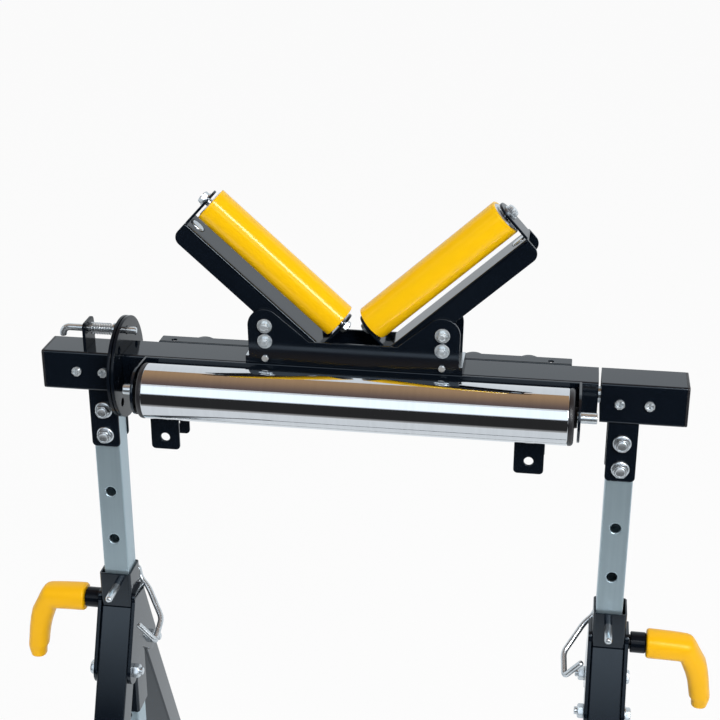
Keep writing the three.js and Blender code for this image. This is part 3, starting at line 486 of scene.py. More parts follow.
for side, s in sides:
    low, high = stubSpan[side]
    x = s * postX
    beamPiece(f"{side}StubTube", along(plate(tubeOutline, [tubeBore], low, high, 0.5), "x"), "posts",
              "black_paint", [f"{side}_end_stub"])
    beamPiece(f"{side}PostBracket", postBracket(x), "posts", "black_paint")
    end = s * stub["reach"]
    inner = end - s * stub["cap"]
    softHigh, softLow = (1.1, 0.2) if s > 0 else (0.2, 1.1)
    cap = plate(capOutline, [], *sorted((end, inner)), softHigh, softLow, 4)
    insert = plate(plugOutline, [], *sorted((inner, inner - s * stub["plugLong"])), 0.4)
    beamPiece(f"{side}TubeCap", [along(cap, "x"), along(insert, "x")], "posts", "black_plastic",
              [f"{side}_end_cap"])
    screws = [facing(panHead(4.7, 2.7), (sx, -tubeHalf, 0), True) for sx in stub["screwX"][side]]
    beamPiece(f"{side}StubScrews", sum(screws, []), "posts", "bright_zinc", finish="boltZinc")
    outer = bracket["inner"] + bracket["sheet"]
    for level, z in zip(("upper", "lower"), bracket["bolts"]):
        shapes = facing(flangeBolt, (x, -outer, z), True)
        shapes += facing(hexNut(13, 6.4, 4, 2.2), (x, outer, z), False)
        shapes.append(shank(outer, bracket["bolt"], "y", (x, 0, z)))
        beamPiece(f"{side}PostBolt{level.title()}", shapes, "posts", "bright_zinc",
                  [f"{side}_post_bolt_{level}"])

discLoop = circle(0, 0, index["disc"], 128)
discBore = circle(0, 0, index["bore"], 40)
fixedDisc = plate(discLoop, [discBore, circle(0, index["circle"], index["hole"], 28)], stub["leftEnd"],
                  stub["leftEnd"] + index["sheet"], 0.5)
beamPiece("fixedIndexDisc", along(fixedDisc, "x"), "posts", "black_paint", finish="shadeBlack")
guideHalf, guideTop, corner = index["guideHalf"], index["guideTop"], index["guideCorner"]
guideLoop = np.concatenate([[[-guideHalf, tubeHalf], [guideHalf, tubeHalf]],
                            arcPoints(guideHalf - corner, guideTop, corner, 0, 90, 6),
                            arcPoints(corner - guideHalf, guideTop, corner, 90, 180, 6)])
guide = plate(guideLoop, [circle(0, index["circle"], index["guideHole"], 28)], *index["guide"], 0.5)
beamPiece("plungerGuide", along(guide, "x"), "posts", "black_paint", finish="shadeBlack")
print("end stubs made")

# sprung plunger
plunger = {"radius": 3.5, "rise": index["circle"], "nose": -219.5, "tail": -292.6, "tailLow": 30.1,
           "bend": 7.0,
           "collar": (-241.5, -239.0), "collarRadius": 6.1, "collarEdge": 0.5}
bendTurn = np.radians(np.linspace(0, 90, 9))
bendRun = np.stack([plunger["tail"] + plunger["bend"] * (1 - np.sin(bendTurn)), np.zeros(9),
                    plunger["rise"] - plunger["bend"] * (1 - np.cos(bendTurn))], axis=1)
straight = np.stack([np.linspace(plunger["nose"], plunger["tail"] + plunger["bend"] + 1, 6), np.zeros(6),
                     np.full(6, plunger["rise"])], axis=1)
rodPath = np.concatenate([straight, bendRun, [[plunger["tail"], 0, plunger["tailLow"]]]])
(first, last), wide, edge = plunger["collar"], plunger["collarRadius"], plunger["collarEdge"]
collar = spun([(first, 0), (first, wide - edge), (first + edge, wide), (last - edge, wide),
               (last, wide - edge), (last, 0)], "x", (0, 0, plunger["rise"]), 40)
beamPiece("plungerRod", [wire(rodPath, plunger["radius"], 28), collar], "plunger", "bright_zinc",
          ["plunger_pin"])
coil = {"from": -265.1, "to": -241.9, "radius": 5.3, "wire": 0.66, "turns": 8, "steps": 24}
turn = np.linspace(0, 2 * np.pi * coil["turns"], coil["turns"] * coil["steps"] + 1)
lead = 2 * coil["wire"]
coilX = np.linspace(coil["from"] + lead, coil["to"] - lead, len(turn))
coilRun = np.stack([coilX, coil["radius"] * np.sin(turn), plunger["rise"] + coil["radius"] * np.cos(turn)],
                   axis=1)
spring = beamPiece("plungerSpring", wire(coilRun, coil["wire"], 10), "posts", "bright_zinc",
                   ["plunger_spring"], finish="springSteel")
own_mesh(spring)
print("plunger made")

# turning beam, index disc, timber straps
beam = {"from": -228.0, "to": 226.5, "disc": (-231.0, -228.0), "holes": 8, "tabs": (-189.25, 165.75),
        "tabWidth": 28.5, "tabTop": -20.1, "tabLow": -78.0, "tabCorner": 4, "tabHole": -65.0,
        "tabHoleRadius": 4.5, "sheet": 2.5, "webHalf": 14.2, "webDeep": 17.9, "web": (-22.6, -20.05)}
wallIn = tubeHalf - beam["sheet"]
beamPiece("beamTube", along(plate(tubeOutline, [tubeBore], beam["from"], beam["to"], 0.5), "x"), "head",
          "black_paint", ["head_beam"])
holeTurn = np.radians(90 + np.arange(beam["holes"]) * 360 / beam["holes"])
discHoles = [circle(index["circle"] * np.cos(t), index["circle"] * np.sin(t), index["hole"], 28)
             for t in holeTurn]
turningDisc = plate(discLoop, [discBore] + discHoles, *beam["disc"], 0.5)
beamPiece("turningIndexDisc", along(turningDisc, "x"), "head", "black_paint", finish="shadeBlack")
for (side, s), x in zip(sides, beam["tabs"]):
    outline = strip(beam["tabWidth"], beam["tabTop"], beam["tabLow"], beam["tabCorner"], x)
    hole = [circle(x, beam["tabHole"], beam["tabHoleRadius"], 28)]
    wide, deep = beam["webHalf"], beam["webDeep"]
    beamPiece(f"{side}TimberStrap", platePair(outline, hole, wallIn, tubeHalf, 0.3, 0.6) + [
        boxPlate(x - wide, x + wide, -deep, deep, *beam["web"], 0.3)], "head", "black_paint")
print("beam made")

# flat roller
roller = {"mid": 3.25, "y": -52.0, "z": -1.5, "radius": 26.3, "wall": 2.0, "half": 197.5, "cap": 5.2,
          "inner": 205.7, "outer": 208.2, "lobe": 23.0, "heel": -16.0, "proud": (12.6, 15.0), "sheet": 2.5,
          "axleHole": 5.3, "capBore": 5.6, "capIn": 12}
mid, ry, rz = roller["mid"], roller["y"], roller["z"]
carrierLoop = np.concatenate([[[-tubeHalf - 0.2, tubeHalf]], arcPoints(ry, rz, roller["lobe"], 90, 270, 32),
                              [[-tubeHalf - 0.2, roller["heel"]]]])
carrierShapes = [boxPlate(mid - roller["outer"], mid + roller["outer"], -tubeHalf - roller["sheet"],
                          -tubeHalf, roller["heel"], tubeHalf, 0.5)]
for side, s in sides:
    a, b = sorted((mid + s * roller["inner"], mid + s * roller["outer"]))
    carrierShapes.append(along(plate(carrierLoop, [circle(ry, rz, roller["axleHole"], 28)], a, b, 0.5), "x"))
beamPiece("rollerCarrier", carrierShapes, "head", "black_paint", ["roller_carrier"])
half, r, bore = roller["half"], roller["radius"], roller["radius"] - roller["wall"]
tubeProfile = [(-half, bore), (-half, r - 0.8), (-half + 0.3, r - 0.3), (-half + 1, r), (half - 1, r),
               (half - 0.3, r - 0.3), (half, r - 0.8), (half, bore), (-half, bore)]
beamPiece("chromeRoller", spun(tubeProfile, "x", (mid, ry, rz), 128), "flat_roller", "chrome",
          ["flat_roller"])
c, capIn, capBore = half + roller["cap"], half - roller["capIn"], roller["capBore"]
capProfile = [(capIn, capBore), (capIn, bore - 0.3), (half + 0.05, bore - 0.3), (half + 0.05, r - 0.5),
              (half + 0.5, r), (c - 3.0, r), (c - 1.7, r - 0.4), (c - 0.6, r - 1.4), (c, r - 3.4), (c, 17.5),
              (c - 1.6, 16.8), (c - 1.6, 11.0), (c, 10.2), (c + 2.6, 9.6), (c + 2.6, capBore),
              (capIn, capBore)]
for side, s in sides:
    beamPiece(f"{side}RollerCap", spun([(s * a, q) for a, q in capProfile], "x", (mid, ry, rz), 96),
              "flat_roller", "black_plastic", [f"{side}_roller_cap"])
axleEnds = []
for (side, s), proud in zip(sides, roller["proud"]):
    e = roller["outer"] + proud
    axleEnds.append([(s * a, q) for a, q in ((e - 0.9, 5.2), (e - 0.25, 4.95), (e, 4.3), (e, 0))])
beamPiece("rollerAxle", spun(axleEnds[0][::-1] + axleEnds[1], "x", (mid, ry, rz), 40), "head",
          "bright_zinc", ["roller_axle"])
print("flat roller made")

# ball row
balls = {"count": 7, "pitch": 53.6, "mid": -0.75, "y": 42.0, "radius": 12.7, "hollow": 13.3, "cup": 18.0,
         "lip": 47.0, "half": 202.0, "flange": 36.0, "sheet": 2.5, "holes": (-188.5, 181.3), "holeY": 26.2,
         "hole": 2.7}
ballXs = balls["mid"] + (np.arange(balls["count"]) - balls["count"] // 2) * balls["pitch"]
lowX, highX, flangeIn = balls["mid"] - balls["half"], balls["mid"] + balls["half"], tubeHalf + 0.3
flangeLoop = roundRect(highX - lowX, balls["flange"] - flangeIn, 1.2, 3, balls["mid"],
                       (balls["flange"] + flangeIn) / 2)
flangeHoles = [circle(x, balls["holeY"], balls["hole"], 24) for x in balls["holes"]]
beamPiece("ballChannel", [
    boxPlate(lowX, highX, tubeHalf, tubeHalf + balls["sheet"], -tubeHalf, tubeHalf, 0.4),
    along(plate(flangeLoop, flangeHoles, wallIn, tubeHalf, 0.7), "z"),
    along(plate(flangeLoop, flangeHoles, -tubeHalf, -wallIn, 0.7), "z"),
], "head", "black_paint", ["ball_carrier"])
hollow = arcPoints(balls["y"], 0, balls["hollow"], 20.5, 90, 10)       # from the cup's lip to its widest ring
cup, lip = balls["cup"], balls["lip"]
cupProfile = [(22.4, 0), (22.4, 16.5), (24.5, cup - 0.6), (26, cup), (lip - 3, cup), (lip - 1, cup - 0.7),
              (lip, cup - 2.4)]
cupProfile += hollow.tolist() + [(34.0, 11.0), (28.8, 5.0), (28.2, 0)]
beamPiece("ballCups", [spun(cupProfile, "y", (x, 0, 0), 48) for x in ballXs], "head", "black_paint")
poleTurn = np.radians(np.linspace(0, 180, 25))
sphere = np.stack([-balls["radius"] * np.cos(poleTurn), balls["radius"] * np.sin(poleTurn)], axis=1)
for i, x in enumerate(ballXs):
    beamPiece(f"transferBall{i + 1}", spun(sphere, "x", (x, balls["y"], 0), 48), f"ball_{i + 1}", "chrome",
              [f"ball_{i + 1}"])
print("ball row made")

# V rollers
vee = {"mid": -2.75, "angle": 42.2, "lowX": 15.5, "lowZ": 59.2, "length": 164.4, "radius": 17.5, "gap": 2.1,
       "sheet": 2.5, "web": -25.0, "foot": -45.0, "half": 17.2, "tab": 12.0, "baseHalf": 103.3,
       "baseDeep": 19.9, "plateDeep": 19.2, "edge": 99.8, "midTop": 44.0, "footTop": 26.8, "footWide": 6,
       "earX": 84.0, "earZ": 58.0, "earR": 16.5, "earRun": 42.3, "boltDrop": 15.3, "boltHole": 3.4, "bolt": 3,
       "screwZ": 25.4, "plug": 6.0, "axle": 3.9, "axleHole": 4.3, "turn": 9, "wall": 2.6}
tilt = math.radians(vee["angle"])
tiltTurn = np.array([[math.cos(tilt), 0, -math.sin(tilt)], [0, 1, 0], [math.sin(tilt), 0, math.cos(tilt)]])


def onVee(shapes, s):
    # local x runs up the roller and z stands off it; the left side is the right side turned half way about Z
    made = []
    for points, faces in shapes:
        world = points @ tiltTurn.T + [vee["lowX"], 0, vee["lowZ"]]
        made.append((world * [s, s, 1] + [vee["mid"], 0, 0], faces))
    return made


def earLoop():
    # base flange: level middle, a round ear at each end that runs into the middle on a slope
    x, z, r = vee["earX"], vee["earZ"], vee["earR"]
    right = np.concatenate([[[vee["edge"], tubeHalf]], arcPoints(x, z, r, 0, 130, 18),
                            [[x - vee["earRun"], vee["midTop"]]]])
    return np.concatenate([right, (right * [-1, 1])[::-1]]) + [vee["mid"], 0]


earBolts = [(vee["mid"] + s * vee["earX"], vee["earZ"] - d) for s in (-1, 1) for d in (0, vee["boltDrop"])]
boltHoles = [circle(x, z, vee["boltHole"], 24) for x, z in earBolts]
m, deep, thin, footTop = vee["mid"], vee["baseDeep"], vee["plateDeep"], vee["footTop"]
footSpans = [sorted((m + s * (vee["edge"] - vee["footWide"]), m + s * vee["baseHalf"])) for s in (-1, 1)]
beamPiece("veeBase", [
    boxPlate(m - vee["edge"], m + vee["edge"], -deep, deep, tubeHalf, tubeHalf + vee["sheet"], 0.5),
    *[boxPlate(a, b, -deep, deep, tubeHalf, footTop, 0.6) for a, b in footSpans],
    *platePair(earLoop(), boltHoles, wallIn, tubeHalf, 0.4, 0.6),
], "head", "black_paint", ["v_base"])
footPlates = [boxPlate(a + 0.4, b - 0.4, -thin, thin, footTop - 0.2, footTop + 0.5, 0.2)
              for a, b in footSpans]
beamPiece("veeFootPlates", footPlates, "head", "bright_zinc")
boltShapes = []
for x, z in earBolts:
    boltShapes += facing(washerBolt, (x, -tubeHalf, z), True)
    boltShapes += facing(hexNut(10, 5.2, vee["bolt"], 2.2), (x, tubeHalf, z), False)
    boltShapes.append(shank(tubeHalf, vee["bolt"], "y", (x, 0, z), 20))
for s in (-1, 1):
    screwSpot = (m + s * vee["earX"], -tubeHalf, vee["screwZ"])
    boltShapes += facing([along(hexHead(6.2, 2.2), "y")], screwSpot, True)
beamPiece("veeBolts", boltShapes, "head", "bright_zinc", finish="boltZinc")

vStart, vEnd = -vee["gap"] - vee["sheet"], vee["length"] + vee["gap"] + vee["sheet"]
web, foot, hw, sheet, q = vee["web"], vee["foot"], vee["half"], vee["sheet"], vee["turn"]
toVee = lambda x, z: (tiltTurn.T @ np.array([x - vee["lowX"], 0, z - vee["lowZ"]]))[[0, 2]]
upper, lower = toVee(vee["earX"], vee["earZ"]), toVee(vee["earX"], vee["earZ"] - vee["boltDrop"])
channelLoop = np.concatenate([
    [[vStart + q, web - 1.0], [vStart + q, web - 10], [lower[0] - q, lower[1]]],
    arcPoints(lower[0], lower[1], q, 200, 310, 8),
    [[upper[0] + q, min(upper[1], foot)], [upper[0] + 2 * q, foot]],
    arcPoints(vEnd - q, foot + q, q, 270, 360, 10), [[vEnd, web - 1.0]]])
channelHoles = [circle(x, z, vee["boltHole"], 20) for x, z in (upper, lower)]
tabLoop = np.concatenate([[[-vee["tab"], web - 1.2], [vee["tab"], web - 1.2]],
                          arcPoints(0, 0, vee["tab"], 0, 180, 20)])
webLoop = roundRect(vEnd - vStart, 2 * hw, 2.0, 4, (vEnd + vStart) / 2, 0)
plugX = vee["length"] - vee["plug"]
webHole = roundRect(14.6, 11.8, 5.8, 6, plugX, 0)
axleHole = circle(0, 0, vee["axleHole"], 24)
channelShapes = [
    along(plate(webLoop, [webHole], web - sheet, web, 1.6, 0.4, 5), "z"),
    *platePair(channelLoop, channelHoles, hw - sheet, hw, 0.3, 0.6),
    along(plate(tabLoop, [axleHole], vEnd - sheet, vEnd, 0.5), "x"),
    along(plate(tabLoop, [axleHole], vStart, vStart + sheet, 0.5), "x"),
]
axle, washerIn, washerOut = vee["axle"], vEnd + 0.05, vEnd + 1.2
axleProfile = [(vStart - 6.2, 0), (vStart - 6.2, 3.2), (vStart - 5.6, axle), (vEnd + 5.8, axle),
               (vEnd + 5.8, 0)]
washerProfile = [(washerIn, axle), (washerIn, 7.2), (washerOut, 7.2), (washerOut, axle), (washerIn, axle)]
nutPoints, nutFaces = along(hexHead(11.2, 5.2), "x")
axleShapes = [spun(axleProfile, "x", count=32), spun(washerProfile, "x", count=40),
              shift(along(hexHead(11.0, 4.2), "x"), (washerOut, 0, 0)),
              (nutPoints * [-1, 1, 1] + [vStart - 0.1, 0, 0], nutFaces)]
plugShape = along(plate(roundRect(14, 11.2, 5.5, 6, plugX, 0), [], web - 2.2, web + 1.0, 1.4, 0.3, 5), "z")
length, vr, bore = vee["length"], vee["radius"], vee["radius"] - vee["wall"]
sleeveProfile = [(0.4, bore), (0.4, vr - 0.7), (0.7, vr - 0.2), (1.3, vr), (2.3, vr), (length - 2.6, vr),
                 (length - 1.7, vr), (length - 1.0, vr - 0.2), (length - 0.7, vr - 0.7), (length - 0.7, bore),
                 (0.4, bore)]
endProfile = [(0, 4.6), (0, 7.4), (0.5, 7.9), (0.5, 9.2), (0.0, 9.8), (0.0, 13.6), (0.5, 14.2),
              (0.9, bore - 0.05), (9, bore - 0.05), (9, 4.6), (0, 4.6)]
for side, s in sides:
    beamPiece(f"{side}VeeChannel", onVee(channelShapes, s), "head", "black_paint", [f"{side}_v_channel"])
    beamPiece(f"{side}VeePlug", onVee([plugShape], s), "head", "bright_zinc")
    beamPiece(f"{side}VeeAxle", onVee(axleShapes, s), "head", "bright_zinc", [f"{side}_v_axle"])
    beamPiece(f"{side}VeeSleeve", onVee([spun(sleeveProfile, "x", count=96)], s), f"{side}_v_roller",
              "yellow_sleeve", [f"{side}_v_roller"])
    ends = [spun(endProfile, "x", count=64), spun([(length - a, q) for a, q in endProfile], "x", count=64)]
    beamPiece(f"{side}VeeRollerEnds", onVee(ends, s), f"{side}_v_roller", "bright_zinc")
print("V rollers made")

# posts
post = {"side": 26.0, "wall": 2.0, "corner": 1.6, "top": 783.2, "length": 558.0, "pin": 563.5, "pitch": 54.2,
        "hole": 5.1, "steps": range(-5, 3), "bolts": (764.0, 737.0), "boltHole": 4.3}
low, top, h, corner = post["top"] - post["length"], post["top"], post["side"] / 2, post["corner"]
inner = h - post["wall"]
wallLoop = np.array([[-h, low], [h, low], [h, top], [-h, top]])
wallHoles = [circle(0, post["pin"] + i * post["pitch"], post["hole"], 28) for i in post["steps"]]
wallHoles += [circle(0, z, post["boltHole"], 28) for z in post["bolts"]]
cheekLoop = np.array([[-inner, low + corner], [inner, low + corner], [inner, top - corner],
                      [-inner, top - corner]])
postShapes = platePair(wallLoop, wallHoles, inner, h, 0.02, corner, 4)
postShapes += [along(plate(cheekLoop, [], *span, 0.02), "x") for span in ((-h, -inner), (inner, h))]
for side, s in sides:
    makePiece(f"{side}PostTube", [shift(shape, (s * postX, 0, 0)) for shape in postShapes], "posts",
              "zinc_tube", [f"{side}_post"])
print("posts made")

# leg brackets, lock pins, bails
sleeve = {"top": 578.0, "length": 170.0, "side": 33.0, "bore": 29.0, "corner": 3, "cheek": 3.5,
          "shoulder": 33.0, "notch": 96.0, "lobe": 14.5, "lobeArc": 165, "cheekTop": 24.0, "cheekCorner": 6.0,
          "pinDrop": 14.5, "clampDrop": 40.0, "collar": 10.6, "collarEnd": 17.5, "neck": 7.4, "neckEnd": 2.0,
          "thread": 5.1}
bail = {"y": 26.3, "radius": 3.0, "bend": 5.0, "stops": [
    (7.3, 0, 0), (10.6, 0, 0), (13, -2, -12), (23, -7.5, -20), (41.8, -28.5, -43), (40, -48.3, -58.3),
    (24, -50.5, -39.5)]}
pivot = {"y": 33.0, "z": 473.5, "splay": 25.0, "hole": 4.3, "bolt": 3.9, "flats": 13, "washer": 1.4,
         "head": 4.8, "nut": 6.4, "end": 9.6, "washerRadius": 8.1, "washerEdge": 0.3}
st, sh = sleeve["top"], sleeve["side"] / 2
cheekOut = sh + sleeve["cheek"]
pinZ, clampZ = st - sleeve["pinDrop"], st - sleeve["clampDrop"]
cheekTop, corner = st - sleeve["cheekTop"], sleeve["cheekCorner"]
lobeEnd = pivot["splay"] - sleeve["lobeArc"]
rearEdge = np.concatenate([
    arcPoints(sh - corner, cheekTop - corner, corner, 90, 0, 6), [[sh, st - sleeve["shoulder"]]],
    arcPoints(pivot["y"], pivot["z"], sleeve["lobe"], pivot["splay"], lobeEnd, 20)])
cheek = np.concatenate([rearEdge, [[0, st - sleeve["notch"]]], (rearEdge * [-1, 1])[::-1]])
pivotHoles = [circle(s * pivot["y"], pivot["z"], pivot["hole"], 24) for s in (-1, 1)]
neckStart, neckEnd, e = cheekOut - 0.4, cheekOut + sleeve["neckEnd"], cheekOut + sleeve["collarEnd"]
neck, wide, thread = sleeve["neck"], sleeve["collar"], sleeve["thread"]
collarProfile = [(neckStart, thread), (neckStart, neck), (neckEnd, neck), (neckEnd, wide - 0.9),
                 (neckEnd + 0.9, wide), (e - 1.2, wide), (e, wide - 1.2), (e, thread), (neckStart, thread)]
pinProfile = [(-44.3, 0), (-44.3, 1.4), (-43.9, 2.4), (-42.9, 3.3), (-41.3, 3.9), (16.8, 4.0), (16.8, 6.2),
              (17.5, 7.0), (29.9, 7.0), (30.8, 6.0), (30.8, 0)]
seat, bolt, disc = cheekOut + 0.1, pivot["bolt"], pivot["washerRadius"]
w, edge = pivot["washer"], pivot["washerEdge"]
washer = lathe([(0, bolt), (0, disc - edge), (edge, disc), (w - edge, disc), (w, disc - edge), (w, bolt),
                (0, bolt)], 36)
headShapes = [washer, shift(along(hexHead(pivot["flats"], pivot["head"]), "x"), (pivot["washer"], 0, 0))]
tail = lathe([(0, 0), (0, bolt), (pivot["end"] - 0.6, bolt), (pivot["end"], 3.2), (pivot["end"], 0)], 24)
nutShapes = [along(hexHead(pivot["flats"], pivot["nut"]), "x"), tail]


def onCheek(shapes, sense, spot):
    # moves shapes built towards +x onto the outer face of the cheek on the given side of the spot
    return [((points + [seat, 0, 0]) * [sense, 1, 1] + spot, faces)
            for points, faces in shapes]


for side, s in sides:
    x, bore, wide = s * bracketX, sleeve["bore"], sleeve["side"]
    shapes = [plate(roundRect(wide, wide, sleeve["corner"], 5, x, 0), [roundRect(bore, bore, 1.2, 3, x, 0)],
                    st - sleeve["length"], st, 0.5)]
    for t in (-1, 1):
        a, b = sorted((x + t * (sh - 0.2), x + t * cheekOut))
        shapes.append(along(plate(cheek, pivotHoles, a, b, 0.5), "x"))
    makePiece(f"{side}LegBracket", shapes, "leg_brackets", "black_paint", [f"{side}_leg_bracket"])
    makePiece(f"{side}ClampCollar", spun([(s * a, q) for a, q in collarProfile], "x", (x, 0, clampZ), 48),
              "leg_brackets", "black_plastic", finish="shadeBlack")
    makePiece(f"{side}LockPin", spun(pinProfile, "y", (s * postX, 0, pinZ), 40), f"{side}_pin",
              "bright_zinc", [f"{side}_lock_pin"])
    run = roundedRun([(-s * a, b, c) for a, b, c in bail["stops"]], bail["bend"])
    makePiece(f"{side}WireBail", wire(run + [s * postX, bail["y"], pinZ], bail["radius"], 20),
              f"{side}_bail", "bright_zinc", [f"{side}_bail"])
    for end, t in (("front", -1), ("rear", 1)):
        spot = np.array([x, t * pivot["y"], pivot["z"]])
        shapes = onCheek(headShapes, s, spot) + onCheek(nutShapes, -s, spot) + [shank(seat, bolt, "x", spot)]
        makePiece(f"{side}{end.title()}PivotBolt", shapes, "leg_brackets", "bright_zinc",
                  [f"{side}_{end}_pivot_bolt"])
print("leg brackets made")

# clamp handles
grip = {"square": 0.8, "lean": 10.0, "stud": (12.1, 45), "studRadius": 4.8, "studEdge": 0.8, "sections": [
    # outer x z, inner x z, half depth, from the bracket's middle
    (37.8, 11.6, 37.8, -11.6, 11.8), (38.3, 12.8, 38.3, -12.8, 13), (39.2, 13.5, 39.2, -13.4, 13.6),
    (40.6, 13.9, 40.6, -13.8, 14), (50, 13.6, 49, -13.9, 14), (62, 13, 59, -14.1, 13.9),
    (72, 12.3, 67, -14.4, 13.8), (79, 11.5, 70.6, -14.7, 13.6), (82.2, 10.4, 71.8, -15.2, 13.4),
    (84.2, 8.8, 72.6, -16.2, 13.2), (86.4, 5.8, 73.6, -18.6, 13), (89.2, 0.6, 74.8, -21.6, 12.7),
    (93, -7, 76.2, -25.4, 12.4), (98.3, -17, 78.4, -31, 12), (101.2, -28, 80.6, -38, 11.6),
    (103.4, -40, 82.4, -45.2, 11.2), (105, -52, 84, -54, 10.8), (106.2, -60, 85, -60.4, 10.5),
    (106.6, -63.4, 85.6, -63.6, 10.3), (106.6, -64.2, 88, -64.4, 9.8), (106.2, -69, 88.3, -69, 9.2),
    (105.2, -73.2, 88.8, -73.4, 8.8), (104.8, -75.6, 88.9, -75.6, 8.6), (104.3, -76.2, 89.4, -76.2, 8.1),
    (103.6, -76.5, 90.2, -76.5, 7.3)]}


def aboutX(angle):
    # turn about the X axis by an angle in radians
    sine, cosine = math.sin(angle), math.cos(angle)
    return np.array([[1, 0, 0], [0, cosine, -sine], [0, sine, cosine]])


def gripRings(count=48):
    # each section is an ellipse drawn towards a square, spanned by the outer and inner points and the depth
    rows = np.array(grip["sections"], float)
    zero = np.zeros(len(rows))
    outer = np.stack([rows[:, 0], zero, rows[:, 1]], axis=1)
    inner = np.stack([rows[:, 2], zero, rows[:, 3]], axis=1)
    deep = np.stack([zero, rows[:, 4], zero], axis=1)
    t = np.linspace(0, 2 * np.pi, count, endpoint=False)
    squared = lambda w: (np.sign(w) * np.abs(w) ** grip["square"])[None, :, None]
    across, aside = squared(np.cos(t)), squared(np.sin(t))
    return ((outer + inner) / 2)[:, None] + across * ((outer - inner) / 2)[:, None] + aside * deep[:, None]


start, stop = grip["stud"]
wide, edge = grip["studRadius"], grip["studEdge"]
studProfile = [(start, 0), (start, wide - edge), (start + edge, wide), (stop, wide), (stop, 0)]
for side, s in sides:
    lean = math.radians(grip["lean"]) if s > 0 else 0.0
    clampSpot = np.array([s * bracketX, 0, clampZ])
    rings = (gripRings() * [s, 1, 1]) @ aboutX(lean).T + clampSpot
    stud = spun([(s * a, q) for a, q in studProfile], "x", clampSpot, 32)
    makePiece(f"{side}ClampGrip", [loft(rings)], f"{side}_clamp", "yellow_grip", [f"{side}_clamp_handle"])
    makePiece(f"{side}ClampStud", stud, f"{side}_clamp", "bright_zinc")
print("clamp handles made")

# legs, crossbars, feet
leg = {"width": 32.4, "depth": 28.0, "wall": 2.0, "corner": 2.2, "floorGap": 8.0, "barZ": 130.0, "bar": 25,
       "barBore": 22, "head": 66.0, "seat": 0.3, "boot": 42.0}
splay = math.radians(pivot["splay"])


def legTube(t):
    # each wall line ends above on the sleeve's upright plane or the square cut, and below on a level plane
    sine, cosine = math.sin(splay * t), math.cos(splay * t)
    outer = roundRect(leg["width"], leg["depth"], leg["corner"], 5)
    inner = roundRect(leg["width"] - 2 * leg["wall"], leg["depth"] - 2 * leg["wall"], 1.2, 5)
    bearing = t * (pivot["y"] - sh - leg["seat"])
    highEnd = lambda loop: np.minimum((loop[:, 1] * cosine + bearing) / sine, leg["head"])
    lowEnd = lambda loop: (leg["floorGap"] - pivot["z"] - loop[:, 1] * sine) / cosine
    rings = [(outer, lowEnd(outer)), (outer, highEnd(outer)), (inner, highEnd(inner)), (inner, lowEnd(inner)),
             (outer, lowEnd(outer))]
    points = np.concatenate([np.column_stack([loop, z]) for loop, z in rings]) @ aboutX(splay * t).T
    return points, gridFaces(len(rings), len(outer))


def legFoot(t):
    # rubber boot about the leg end: straight sides with ribs, cut level at the floor
    sine, cosine = math.sin(splay * t), math.cos(splay * t)
    height = -(pivot["z"] - leg["boot"]) / cosine
    rings = []
    for grow, drop in ((0.1, 0), (2.2, 0), (3.0, 1.2), (3.3, 8), (2.5, 9), (2.5, 12), (3.3, 13), (3.3, 20)):
        loop = roundRect(leg["width"] + 2 * grow, leg["depth"] + 2 * grow, 4 + grow / 2, 5)
        rings.append(np.column_stack([loop, np.full(len(loop), height - drop)]))
    for grow, z in ((3.3, 1.0), (2.3, 0.0)):
        loop = roundRect(leg["width"] + 2 * grow, leg["depth"] + 2 * grow, 5, 5)
        rings.append(np.column_stack([loop, (z - pivot["z"] - loop[:, 1] * sine) / cosine]))
    return loft(np.array([ring @ aboutX(splay * t).T for ring in rings]))


reach = bracketX - leg["width"] / 2
barOut, barIn = roundRect(leg["bar"], leg["bar"], 2.5, 5), roundRect(leg["barBore"], leg["barBore"], 1, 3)
for end, t in (("front", -1), ("rear", 1)):
    for side, s in sides:
        spot = (s * bracketX, t * pivot["y"], pivot["z"])
        makePiece(f"{side}{end.title()}Leg", shift(legTube(t), spot), f"{end}_legs", "black_paint",
                  [f"{side}_{end}_leg"])
        makePiece(f"{side}{end.title()}Foot", shift(legFoot(t), spot), f"{end}_legs", "rubber",
                  [f"{side}_{end}_foot"])
    points, faces = along(plate(barOut, [barIn], -reach, reach, 0.3), "x")
    barY = t * (pivot["y"] + (pivot["z"] - leg["barZ"]) * math.tan(splay))
    bar = points @ aboutX(splay * t).T + [0, barY, leg["barZ"]]
    makePiece(f"{end}CrossTube", (bar, faces), f"{end}_legs", "black_paint", [f"{end}_crossbar"])
print("legs made")

# camera, floor, light
view = {"place": (0.1954, -1.2699, 1.3591), "turn": 8.7, "down": 22.51, "lens": 72.9, "sensor": 36.0,
        "clip": 100}
camera = bpy.data.objects.new("camera", bpy.data.cameras.new("camera"))
scene.collection.objects.link(camera)
camera.location = view["place"]
camera.rotation_euler = (math.radians(90 - view["down"]), 0, math.radians(view["turn"]))
camera.data.lens, camera.data.sensor_width = view["lens"], view["sensor"]
camera.data.clip_end = view["clip"]
scene.camera = camera
scene.view_settings.view_transform = "Standard"


def stagePlane(name, corners, material):
    mesh = bpy.data.meshes.new(name)
    mesh.from_pydata([tuple(c) for c in corners], [], [(0, 1, 2, 3)])
    mesh.materials.append(material)
    plane = bpy.data.objects.new(name, mesh)
    scene.collection.objects.link(plane)
    return plane


coolWhite = (0.91, 0.96, 1.0, 1)       # what mirror-like surfaces see of the white background
floorMatt = (0.82, 0.82, 0.82, 1)      # the floor as the light meets it
ambient = 0.36                         # strength of the background as a light; seen directly it is 1
floorWhite = 0.94                      # share of the floor that is plain white; the rest takes the shadow


